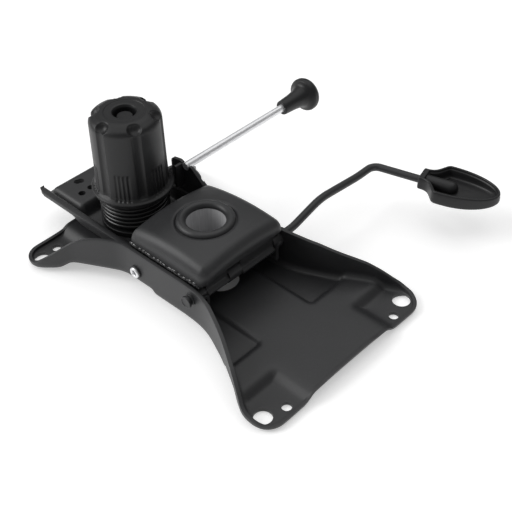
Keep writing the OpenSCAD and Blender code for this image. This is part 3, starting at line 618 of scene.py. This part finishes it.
def cover_height(x, y):
    """The crown, less the quarter round that falls away towards the rim."""
    inside = inside_corner(np.minimum(x - FRONT, REAR - x), np.minimum(y - NEAR, FAR - y), CORNER)
    return crown(x, y) - EDGE + np.sqrt(EDGE ** 2 - np.clip(EDGE - inside, 0, EDGE) ** 2)


MU, MV = 112, 112
plan = [(FRONT, NEAR, CORNER), (REAR, NEAR, CORNER), (REAR, FAR, CORNER), (FRONT, FAR, CORNER)]
rim = even(rounded(plan, 2), 2 * (MU + MV))
shift = int(np.argmin(np.hypot(rim[:, 0] - FRONT - 1.6, rim[:, 1] - NEAR - 1.6)))
rim = blur(np.roll(rim, -shift, 0), 1)
out = outward(rim)
foot = rim - out * INSET
rows = []
for angle in np.radians([30, 36, 42, 48, 54, 60, 66, 72, 78, 84, 90]):
    xy = rim - out * EDGE * (1 - math.sin(angle))
    rows.append(np.column_stack([xy, crown(xy[:, 0], xy[:, 1]) - EDGE * (1 - math.cos(angle))]))
# The hem rises towards the rear, a little less at the near corner
low = rows[-1][:, 2]
near_corner = np.clip((-28 - rim[:, 1]) / 9, 0, 1) * (rim[:, 0] > 20)
hem = blur(31.0 + 10.0 * np.clip((rim[:, 0] - 16) / 12, 0, 1) - 3.0 * near_corner, 2)
for t in np.linspace(0, 1, 7)[1:]:
    rows.append(np.column_stack([rim, low + (hem - low) * t]))
points, faces = pressed(foot, MU, MV, cover_height, rows)
points, faces = punch_round(points, faces, SOCKET_X, 0, 17.8)
points, faces = thicken(points, faces, SHEET)
piece("pressed_cover", points, [faces], "base", ["cover"], steel_black, bevel=0.5)


# Taper socket: a steel tube with a conical bore for the gas lift, upset at its mouth
# into a round collar that sits in the cover's dish.
def bore_look(tree, place):
    """Drawn and thinly coated steel: streaks that run down the bore, over a cloudy satin."""
    streaks = noise(tree, place, 1.2, 2, (1, 1, 30))
    tone = streaks * 0.7 + noise(tree, place, 8, 2) * 0.3
    return {"Base Color": shade(tree, tone, (0.42, 0.42, 0.43), (0.78, 0.78, 0.79)),
            "Roughness": 0.42 + 0.12 * streaks}


bore_steel = finish("drawn steel of the bore", {"Metallic": 0.35}, bore_look)
TUBE_R, COLLAR_R, COLLAR_Z = 17.5, 3.55, 52.05
LOW_R, FOOT_Z = 13.21, 24
collar = [(TUBE_R + COLLAR_R * math.cos(t), COLLAR_Z + COLLAR_R * math.sin(t))
          for t in np.radians(np.arange(-60, 190, 7.5))]
profile = np.array([(LOW_R, FOOT_Z), (TUBE_R, FOOT_Z), (TUBE_R, 48.0)] + collar
                   + [(13.93, 50.5), (13.6, 40), (LOW_R, FOOT_Z)])
points, faces = lathe(profile, 128)
socket = piece("taper_socket_tube", points + (SOCKET_X, 0, 0), [faces], "base", ["taper_socket"],
               steel_black, weld=True, sharp=50)
# The bore's faces take the brighter steel
socket.data.materials.append(bore_steel)
inner = [f.index for f in socket.data.polygons
         if f.center.z < 51.2 * MM and math.hypot(f.center.x - SOCKET_X * MM, f.center.y) < 14.2 * MM]
marks = np.zeros(len(socket.data.polygons), np.int32)
marks[inner] = 1
socket.data.polygons.foreach_set("material_index", marks)


# Brace, rear tabs, lock bracket and guide: plain cut and folded plates that are welded
# to the channel. The bracket stands up beside the knob and carries the lock rod.
def plate(outline, thickness, origin, a_axis, b_axis):
    """A flat plate: an outline in the plane of two axes from an origin, and again a thickness further."""
    a_axis, b_axis = np.array(a_axis, float), np.array(b_axis, float)
    face = np.array(origin, float) + outline[:, :1] * a_axis + outline[:, 1:2] * b_axis
    n = len(face)
    step = np.cross(a_axis, b_axis) * thickness
    side = np.stack([np.arange(n), (np.arange(n) + 1) % n, (np.arange(n) + 1) % n + n, np.arange(n) + n], 1)
    return np.vstack([face, face + step]), [side, [list(range(n))[::-1]], [list(range(n, 2 * n))]]


def plates(name, parts, body, nodes, material=steel_black, bevel=0.5):
    """Several plates joined into one piece with softened edges."""
    points, groups, first = [], [], 0
    for part, sides in parts:
        points.append(part)
        groups += [(np.array(s) + first) for s in sides]
        first += len(part)
    return piece(name, np.vstack(points), groups, body, nodes, material,
                 bevel=bevel, sharp=35)


def brace_half(x, y, first):
    """Half of the brace: its side at x, from -y to y or back, and a half circle round the tube."""
    arc = [(SOCKET_X + TUBE_R * math.cos(t), TUBE_R * math.sin(t))
           for t in np.radians(np.arange(first, first + 181, 6))]
    outline = np.array([(x, -y), (SOCKET_X, -y)] + arc[::-1] + [(SOCKET_X, y), (x, y)])
    return plate(outline, SHEET, (0, 0, FOOT_Z), (1, 0, 0), (0, 1, 0))


plates("socket_cross_brace", [brace_half(-31, 33, 90), brace_half(14.8, -33, -90)], "base",
       ["socket_brace"])


def curled(y0, y1, lift):
    """A tab's side outline, down behind the hem and curled outwards at its foot, carried from y0 to y1."""
    side = rounded([(22.4, 42.5, 0), (24.6, 42.5, 0), (24.6, 25.5 + lift, 2.6), (27.4, 23.6 + lift, 0.8),
                    (26.6, 20.6 + lift, 0.9), (22.4, 24.2 + lift, 2.4)], 12)
    return plate(side[::-1], y1 - y0, (0, y1, 0), (1, 0, 0), (0, 0, 1))


plates("rear_closing_tabs", [curled(-33, -12, 3), curled(0.5, 33, 1)], "base", ["rear_tabs"], bevel=0.6)
# The bracket's two ears with the notch for the rod between them, and the fold at the front ear
ear = rounded([(-79.8, 28.4, 0), (-45.6, 28.4, 0), (-46.2, 42.8, 1), (-58.4, 53.2, 1.6),
               (-61.1, 53.0, 1.5), (-61.1, 48.6, 3), (-67.5, 48.6, 3), (-67.5, 53.6, 0.6),
               (-70.2, 54.8, 4), (-79.8, 52.9, 3)], 12)
fold = rounded([(-69.9, 34, 0), (-67.5, 34, 0), (-67.5, 53.3, 0.5), (-69.9, 53.3, 0.5)], 12)
plates("lock_bracket_plate", [plate(ear, SHEET, (0, 37, 0), (1, 0, 0), (0, 0, 1)),
                              plate(fold, 7.0, (0, 35, 0), (1, 0, 0), (0, 0, 1))],
       "base", ["lock_bracket"])
# The guide: a cheek at each side of the slide and a saddle under it
cheek = rounded([(39.4, 21.5, 0), (45.5, 21.5, 2), (45.5, 34.6, 2), (39.4, 34.6, 0)], 12)
saddle = rounded([(39.4, 21.5, 0), (45.5, 21.5, 1), (45.5, 24.0, 0), (39.4, 24.0, 0)], 12)
plates("lock_guide_cheeks", [plate(cheek, 2.8, (LOCK_X - 5.2, 0, 0), (0, 1, 0), (0, 0, 1)),
                             plate(cheek, 2.8, (LOCK_X + 2.4, 0, 0), (0, 1, 0), (0, 0, 1)),
                             plate(saddle, 4.8, (LOCK_X - 2.4, 0, 0), (0, 1, 0), (0, 0, 1))],
       "base", ["lock_guide"], bevel=0.4)


# Weld beads: two runs of filler along the cover's hem, in overlapping drops that shine
# a little more than the coat around them.
weld_look = finish("coated weld", {"Specular IOR Level": 0.7},
                   coat((0.005, 0.005, 0.0055), (0.014, 0.014, 0.015), 0.24, 6.0, 0.3))


def tube(path, radius, sides):
    """A round tube along a path: each ring stands square to the path, its top as near to +Z as it goes."""
    path = np.array(path, float)
    t = np.gradient(path, axis=0)
    t /= np.linalg.norm(t, axis=1)[:, None]
    side = np.cross(t, (0, 0, 1.0))
    side /= np.linalg.norm(side, axis=1)[:, None]
    top = np.cross(side, t)
    a = np.arange(sides) / sides * 2 * math.pi
    r = np.broadcast_to(np.asarray(radius, float), len(path))[:, None, None]
    around = np.cos(a)[None, :, None] * side[:, None] + np.sin(a)[None, :, None] * top[:, None]
    grid = path[:, None] + r * around
    last = (len(path) - 1) * sides
    ends = [[list(range(sides))[::-1]], [list(range(last, last + sides))]]
    return grid.reshape(-1, 3), [grid_faces(len(path), sides, True)] + ends


beads = []
for side, reach in ((-1, 39.3), (1, 39.7)):
    # Drops of about 6 mm carry ripples of about 2 mm, and the run wanders a little in height
    x = np.arange(-44, 25, 0.25)
    drop = (x / 6.3 + 0.35 * np.sin(x * 0.37 + side) + 0.12 * np.sin(x * 1.1)) % 1
    ripple = (x / 1.9 + 0.3 * np.sin(x * 0.8)) % 1
    swell = 1.75 + 0.75 * np.sqrt(1 - (2 * drop - 1) ** 2) + 0.08 * np.sqrt(1 - (2 * ripple - 1) ** 2)
    taper = np.clip(np.minimum(x + 44.4, 25.4 - x) / 2.5, 0.2, 1) ** 0.5
    wander = 35.0 + 0.6 * np.sin(x * 0.43 + 1) + 0.3 * np.sin(x * 1.27) + 1.4 * np.clip((x - 14) / 10, 0, 1)
    path = np.column_stack([x, side * (reach + 0.12 * np.sin(x * 0.8)), wander])
    bead, sides = tube(path, swell * taper, 20)
    bead[:, 1] = side * reach + (bead[:, 1] - side * reach) * 0.58
    beads.append((bead, sides))
first = len(beads[0][0])
piece("weld_seams", np.vstack([beads[0][0], beads[1][0]]),
      beads[0][1] + [np.array(g) + first for g in beads[1][1]],
      "base", ["weld_beads"], weld_look)


# Spring and its seats: a coil of round wire between a moulded cup on the channel's floor
# and a flat ring under the knob.
plastic = finish("moulded black plastic", {"Specular IOR Level": 0.38, "IOR": 1.48},
                 coat((0.0085, 0.0086, 0.0092), (0.022, 0.0222, 0.0232), 0.40, 0.5, 0.22))
spring_steel = finish("black spring wire", {"Specular IOR Level": 0.6},
                      coat((0.008, 0.008, 0.0085), (0.02, 0.02, 0.021), 0.30, 1.5, 0.2))
SEAT_R, RING_Z = 26.2, 44.6
profile = rounded([(9.5, 15, 0), (SEAT_R, 15, 0.6), (SEAT_R, 19.4, 0.8), (20, 19.4, 0.4), (20, 17, 1),
                   (9.5, 17, 0.5), (9.5, 15, 0)], 12, False)
points, faces = lathe(profile, 96)
piece("lower_spring_cup", points + (BOLT_X, 0, 0), [faces], "base", ["spring_seat_lower"],
      plastic, weld=True, sharp=50)
profile = rounded([(6.4, RING_Z, 0), (SEAT_R, RING_Z, 0.6), (SEAT_R, 47.1, 0.6), (6.4, 47.1, 0),
                   (6.4, RING_Z, 0)], 12, False)
points, faces = lathe(profile, 96)
piece("upper_spring_ring", points + (BOLT_X, 0, 0), [faces], "upper_seat", ["spring_seat_upper"],
      plastic, weld=True, sharp=50)
# The wire's middle climbs from inside the cup to just under the ring
WIRE, TURNS, COIL_R, COIL_FOOT, COIL_HEAD = 1.5, 6, 24.5, 21.0, 43.0
PER_TURN = 40
t = np.arange(0, TURNS * PER_TURN + 1) / PER_TURN
climb = COIL_FOOT + (COIL_HEAD - COIL_FOOT) * np.clip(t / TURNS, 0, 1)
path = np.column_stack([BOLT_X + COIL_R * np.cos(2 * math.pi * t), COIL_R * np.sin(2 * math.pi * t), climb])
points, faces = tube(path, WIRE, 12)
coil = piece("tension_coil", points, faces, "upper_seat", ["tension_spring"], spring_steel)
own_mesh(coil)


# Tension knob: one hollow moulding with six grooves, a round dent over each, fine grip
# lines low on every panel and thin rings under its skirt. It is screwed down by hand.
FLUTES, FIRST_FLUTE = 6, 36
KNOB_R, DENT, DENT_OUT, KNOB_TOP = 26.3, 6.0, 24.2, 108.4
profile = rounded([(26.7, 46.0, 0), (26.7, 43.6, 0.3), (28.6, 43.5, 0.5), (29.0, 44.1, 0.3),
                   (28.3, 44.5, 0.25), (29.5, 44.9, 0.35), (29.6, 45.4, 0.3), (28.9, 45.8, 0.25),
                   (30.1, 46.2, 0.5), (30.3, 47.6, 0.9), (28.6, 48.5, 1.2), (26.9, 50.2, 1.6),
                   (26.5, 62, 60), (25.9, 104.6, 5.4), (18.5, KNOB_TOP, 9), (14.9, KNOB_TOP, 0.3),
                   (14.5, 108.0, 0.3), (9.6, 108.0, 0), (8.9, 107.8, 0.5), (8.1, 106.2, 0.4),
                   (7.9, 96, 0.4), (6.6, 96, 0)], 12, False)
# Steps up the profile: fine at the grip lines, finest at the dents, wide on plain parts
run = length_along(profile)
limits = np.where(profile[:, 1] > 99, 0.4, 0.7)
limits = np.where((profile[:, 1] > 72) & (profile[:, 1] < 99), 2.4, limits)
limits = np.where(profile[:, 0] < 19, 1.6, limits)[1:]
steps = refined(list(run), list(limits))
r0 = np.interp(steps, run, profile[:, 0])
z0 = np.interp(steps, run, profile[:, 1])
COLS = 360
t = np.arange(COLS) / COLS * 2 * math.pi
r, z = np.repeat(r0[:, None], COLS, 1), np.repeat(z0[:, None], COLS, 1)
slope = np.gradient(profile, axis=0)
nr = np.interp(steps, run, slope[:, 1] / np.linalg.norm(slope, axis=1))[:, None]
nz = np.interp(steps, run, -slope[:, 0] / np.linalg.norm(slope, axis=1))[:, None]
# Grooves: the way across is measured from the nearest groove's middle
SHARE = 2 * math.pi / FLUTES
turn = (t - math.radians(FIRST_FLUTE)) % SHARE
turn = np.where(turn > SHARE / 2, turn - SHARE, turn)[None]
across = turn * KNOB_R
body_side = ((steps > run[np.argmax(profile[:, 1] > 48.6)]) & (r0 > 20))[:, None]
fade = np.clip((z - 49.5) / 2.5, 0, 1) * np.clip((109 - z) / 3, 0, 1)
groove = np.maximum(0, 1.35 * (1 - (np.abs(across) / 3.5) ** 2.6)) * fade * body_side
# Grip lines: the way across is measured from the nearest panel's middle
lines = ((turn + SHARE) % SHARE - SHARE / 2) * KNOB_R
comb = np.cos(lines * 2 * math.pi / 3.05)
window = np.clip((6.1 - np.abs(lines)) / 0.7, 0, 1) * np.clip((71.5 - z) / 2.5, 0, 1) * (z > 48.9)
grip = 0.36 * window * (1 - comb) * body_side
r = r - (groove + grip) * nr
z = z - (groove + grip) * nz
wx, wy = r * np.cos(t), r * np.sin(t)
place = np.stack([wx, wy, z], -1)
for k in range(FLUTES):
    a = math.radians(FIRST_FLUTE + 360 / FLUTES * k)
    # Each dent is a ball's print, pressed in along one slanting line
    line = np.array([0.7 * math.cos(a), 0.7 * math.sin(a), 0.714])
    d = place - (DENT_OUT * math.cos(a), DENT_OUT * math.sin(a), KNOB_TOP)
    b = d @ line
    away = (d * d).sum(-1) - b * b
    sink = b + np.sqrt(np.maximum(DENT ** 2 - away, 0))
    sink = (sink + np.sqrt(sink * sink + 0.025)) / 2 * (away < 2.6 * DENT ** 2) * (r0[:, None] > 12)
    place = place - sink[..., None] * line
# Inside it is a plain hollow, hidden by the ring and the nut
hollow = np.array([(6.6, 94), (22.5, 94), (23.4, 48.2), (26.7, 48.2), (26.7, 46)])
inner_r, inner_z = hollow[:, :1], np.repeat(hollow[:, 1:], COLS, 1)
place = np.concatenate([place, np.stack([inner_r * np.cos(t), inner_r * np.sin(t), inner_z], -1)])
points = place.reshape(-1, 3) + (BOLT_X, 0, 0)
faces = grid_faces(len(place), COLS, True)
piece("fluted_tension_knob", points, [faces], "knob", ["tension_knob"], plastic, weld=True)


# Height lever: a bent steel rod that turns in the pivot sleeves, with a tongue welded on
# inside the base and a coated cap at each side.
BEND_Y, HANDLE_Z = 150.8, 31.2
ROD_R, ROD_IN_HANDLE = 3.0, 62.5
COS, SIN = math.cos(math.radians(14.7)), math.sin(math.radians(14.7))
route = rounded([(PIVOT_X, -47.4, PIVOT_Z, 0), (PIVOT_X, 58, PIVOT_Z, 25), (PIVOT_X, 88, 35.4, 45),
                 (PIVOT_X, 131, HANDLE_Z, 60), (PIVOT_X, BEND_Y, HANDLE_Z, 8),
                 (PIVOT_X + COS * ROD_IN_HANDLE, BEND_Y + SIN * ROD_IN_HANDLE, HANDLE_Z, 0)], 4, False)
run = length_along(route)
steps = refined(list(run), [2.5] * (len(run) - 1))
route = np.stack([np.interp(steps, run, route[:, k]) for k in range(3)], 1)
points, faces = tube(route, ROD_R, 32)
piece("bent_lift_rod", points, faces, "lever", ["lift_rod"], steel_black, sharp=50)
# The near cap has a neck, a rim and a hollow end; the far one is a ring on the rod
near = rounded([(0, 45.8, 0), (3.3, 45.8, 0), (3.3, 47.2, 0), (4.5, 47.3, 0.3), (4.5, 49.2, 0.5),
                (3.8, 49.2, 0), (3.5, 48.8, 0.1), (0, 48.8, 0)], 15, False)
cap, cap_faces = lathe(near, 40)
far = rounded([(2.9, 46.5, 0), (5.5, 46.5, 0.3), (5.5, 48.2, 0.5), (2.9, 48.2, 0), (2.9, 46.5, 0)],
              15, False)
ring, ring_faces = lathe(far, 40)
points = np.vstack([along_y(cap, PIVOT_X, PIVOT_Z, -1), along_y(ring, PIVOT_X, PIVOT_Z, 1)])
piece("lever_end_caps", points, [cap_faces, ring_faces + len(cap)], "lever", ["lever_caps"],
      steel_black, weld=True, sharp=50)


# Paddle: a spade-shaped tray moulded onto the rod's end, with a half-round socket for it,
# a thick end wall at the neck and a stepped rim.
U0, LENGTH, HALF_W, NECK = 38.5, 61.7, 19.1, 7.5
U1 = U0 + 0.35 * LENGTH
SHOULDER_U = U0 + 0.26 * LENGTH
nose = [(U1 + (LENGTH - U1 + U0) * math.cos(a), HALF_W * math.sin(a), 0)
        for a in np.radians(np.arange(-84, 85, 6))]
plan = rounded([(U0, -NECK, 1.2), (U0 + 8, -NECK, 9), (SHOULDER_U, -HALF_W, 5), (U1, -HALF_W, 0)] + nose
               + [(U1, HALF_W, 0), (SHOULDER_U, HALF_W, 5), (U0 + 8, NECK, 9), (U0, NECK, 1.2)], 6)
PU, PV = 96, 36
loop = blur(even(plan, 2 * (PU + PV)), 1)
shift = int(np.argmin(np.hypot(loop[:, 0] - U0, loop[:, 1] + NECK)))
loop = np.roll(loop, -shift, 0)
out = outward(loop)
RIM_Z, BED, KEEL_Z, END_WALL = 37.8, 2.2, 27.3, 5.2


def keel(u, v=0):
    """Underside of the tray: level under the socket, then rising to the tip in a soft curve."""
    return KEEL_Z + 3.2 * np.clip((u - U0 - 0.42 * LENGTH) / (0.58 * LENGTH), 0, 1) ** 2


def bed(u, v=0):
    """Inner floor of the tray, an even wall above the keel."""
    return keel(u) + BED


def tray_row(d, rise=None, z=None):
    """The plan's outline moved in by d, at a height above the keel or an absolute one."""
    p = loop - out * d
    return np.column_stack([p, keel(p[:, 0]) + rise if z is None else np.full(len(p), z)])


def inner_row(d, rise=None, z=None):
    """The same above the bed, and held back from the neck's thick end wall."""
    p = loop - out * d
    p[:, 0] = np.maximum(p[:, 0], U0 + END_WALL + (d - 2.6))
    return np.column_stack([p, bed(p[:, 0]) + rise if z is None else np.full(len(p), z)])


outer = [tray_row(1.5, 0.0), tray_row(0.7, 0.2), tray_row(0.25, 0.7), tray_row(0.1, 1.4),
         tray_row(0.05, 3.0), tray_row(0.2, z=34.2), tray_row(0.3, z=36.4), tray_row(0.45, z=37.2),
         tray_row(0.8, z=37.65), tray_row(1.2, z=RIM_Z)]
inner = [inner_row(1.7, z=RIM_Z), inner_row(2.1, z=37.65), inner_row(2.35, z=37.2),
         inner_row(2.4, z=36.4), inner_row(2.5, z=36.1), inner_row(3.1, z=35.9), inner_row(3.3, z=35.5),
         inner_row(3.5, z=33.0), inner_row(3.9, 1.2), inner_row(4.3, 0.5), inner_row(5.0, 0.1)]
for row in inner[:3]:
    row[:, 0] = np.where(row[:, 0] < U0 + 6, np.minimum(row[:, 0], U0 + 5.6), row[:, 0])
points_low, faces_low = pressed(tray_row(2.6, 0.0)[:, :2], PU, PV, keel, outer)
points_high, faces_high = pressed(inner_row(6.0, 0.0)[:, :2], PU, PV, bed, inner[::-1])
# The two halves are bridged along the rim, between their last rows
n = len(loop)
k = np.arange(n)
both_halves = len(points_low) + len(points_high)
last_low, last_high = len(points_low) - n, both_halves - n
bridge = np.stack([last_low + k, last_low + (k + 1) % n, last_high + (k + 1) % n, last_high + k], 1)
# Half-round socket: stadium rings that widen from the crest line and drop straight to the bed
BOSS, NOSE_U = 5.3, U0 + 24.6
rings = []
around = np.radians(np.arange(-90, 91, 7.5))
widths = [(BOSS * math.sin(a), HANDLE_Z + BOSS * math.cos(a))
          for a in np.radians([1, 15, 30, 45, 60, 75, 90])]
for w, h in widths + [(BOSS, 29.3)]:
    left = np.column_stack([np.linspace(U0 + 3.5, NOSE_U, 12)[:-1], np.full(11, -w)])
    cap = np.column_stack([NOSE_U + w * np.cos(around), w * np.sin(around)])
    ring = np.vstack([left, cap, left[::-1] * (1, -1)])
    rings.append(np.column_stack([ring, np.full(len(ring), h)]))
columns = len(rings[0])
points = np.vstack([points_low, points_high, np.vstack(rings)])
faces = [faces_low[:, ::-1], bridge, faces_high + len(points_low),
         grid_faces(len(rings), columns, True, both_halves)[:, ::-1],
         [list(range(len(points) - columns, len(points)))],
         [list(range(both_halves, both_halves + columns))]]
# The tray is drawn along the rod's end, then turned and moved there
u, v = points[:, 0], points[:, 1]
points = np.column_stack([PIVOT_X + u * COS - v * SIN, BEND_Y + u * SIN + v * COS, points[:, 2]])
piece("moulded_paddle", points, faces, "lever", ["paddle"], plastic, weld=True)


# Tilt lock: a bright rod with a flat slide. Pulled by its mushroom knob, it draws the
# slide's tongue out through the slot in the far flange.
LOCK_Z = 52.0
path = np.column_stack([np.full(50, LOCK_X), np.linspace(34.2, 161, 50), np.full(50, LOCK_Z)])
points, faces = tube(path, ROD_R, 48)
piece("bright_lock_rod", points, faces, "lock", ["lock_rod"], zinc, sharp=50)
profile = rounded([(0, 140.4, 0), (3.0, 140.4, 0), (4.6, 140, 0.4), (5.7, 140.1, 0.7), (6.0, 143, 2),
                   (6.6, 152, 20), (7.6, 159, 12), (9.4, 163.5, 4), (12.9, 165.0, 1.2), (13.6, 166.6, 1.2),
                   (13.5, 169.4, 1.4), (12.4, 171.6, 3), (8.2, 174.8, 10), (0, 175.9, 0)], 6, False)
points, faces = lathe(profile, 96)
piece("lock_mushroom_knob", along_y(points, LOCK_X, LOCK_Z), [faces], "lock", ["lock_knob"],
      plastic, weld=True)
# The slide hangs from the rod inside the flange, and its tongue points out at the slot
strip = np.array([(37.6, 47.5), (37.6, 29), (40.2, 29), (40.2, 24.4), (47.3, 24.4), (47.3, 31.6),
                  (40.8, 31.6), (40.8, 47.5)])
plates("lock_slide_strip", [plate(strip, 4.0, (LOCK_X - 2.0, 0, 0), (0, 1, 0), (0, 0, 1))],
       "lock", ["lock_slide"], bevel=0.4)


# Camera at the photograph's angle, on a long lens, in plain soft light on a pale floor.
camera_data = bpy.data.cameras.new("camera")
camera_data.sensor_width, camera_data.lens = 36, 69.29
camera_data.clip_start, camera_data.clip_end = 0.01, 20
camera = bpy.data.objects.new("camera", camera_data)
camera.matrix_world = Matrix(((0.72654, -0.44016, 0.52763, 0.38685),
                              (0.68683, 0.48737, -0.53919, -0.35447),
                              (-0.01982, 0.75414, 0.65642, 0.47876),
                              (0, 0, 0, 1)))
bpy.context.scene.collection.objects.link(camera)
bpy.context.scene.camera = camera
bpy.context.scene.view_settings.view_transform = "Standard"


def softlight(name, towards, angle, power):
    """A sun that shines from a direction with a wide disc, in degrees, so its shadows are soft."""
    light = bpy.data.lights.new(name, "SUN")
    light.angle, light.energy = math.radians(angle), power
    made = bpy.data.objects.new(name, light)
    made.rotation_euler = Vector(towards).to_track_quat("Z", "Y").to_euler()
    bpy.context.scene.collection.objects.link(made)


softlight("left window", (-0.62, -0.55, 0.56), 36, 1.55)
softlight("overhead sheet", (-0.15, 0.25, 1.0), 70, 1.0)
world = bpy.data.worlds.new("studio")
bpy.context.scene.world = world
world.use_nodes = True
world.node_tree.nodes["Background"].inputs[0].default_value = (1, 1, 1, 1)
world.node_tree.nodes["Background"].inputs[1].default_value = 0.24

FLOOR, FLOOR_Z = 6, -0.0004
floor_mesh = bpy.data.meshes.new("floor")
floor_mesh.from_pydata([(x, y, FLOOR_Z) for x, y in ((-FLOOR, -FLOOR), (FLOOR, -FLOOR), (FLOOR, FLOOR),
                                                     (-FLOOR, FLOOR))], [], [(0, 1, 2, 3)])
floor = bpy.data.objects.new("floor", floor_mesh)
bpy.context.scene.collection.objects.link(floor)


def floor_glow_with_painted_shadow(tree, place):
    """Matt white card that glows softly, with a painted shadow: its glow fades to dark grey right under the
    part.
    """
    away = add(tree, "ShaderNodeVectorMath", {"operation": "DISTANCE"}, {0: place, 1: (0.001, 0.003, 0)}, 1)
    # Painted shadow: the emission colour is dark grey within about 18 mm of the spot under the part, and
    # white beyond 32 mm.
    return {"Emission Color": shade(tree, away.between(0.018, 0.032), (0.07, 0.07, 0.07), (1, 1, 1))}


floor_mesh.materials.append(finish("pale floor", {"Base Color": (0.85, 0.85, 0.85, 1), "Roughness": 0.9,
                                                  "Emission Strength": 0.42}, floor_glow_with_painted_shadow))

# The nut inside the knob and the tongue inside the base stay as the solids are.
for name, look in (("knob_nut", zinc), ("lift_tongue", steel_black)):
    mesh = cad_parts[name].data
    mesh.materials.clear()
    mesh.materials.append(look)
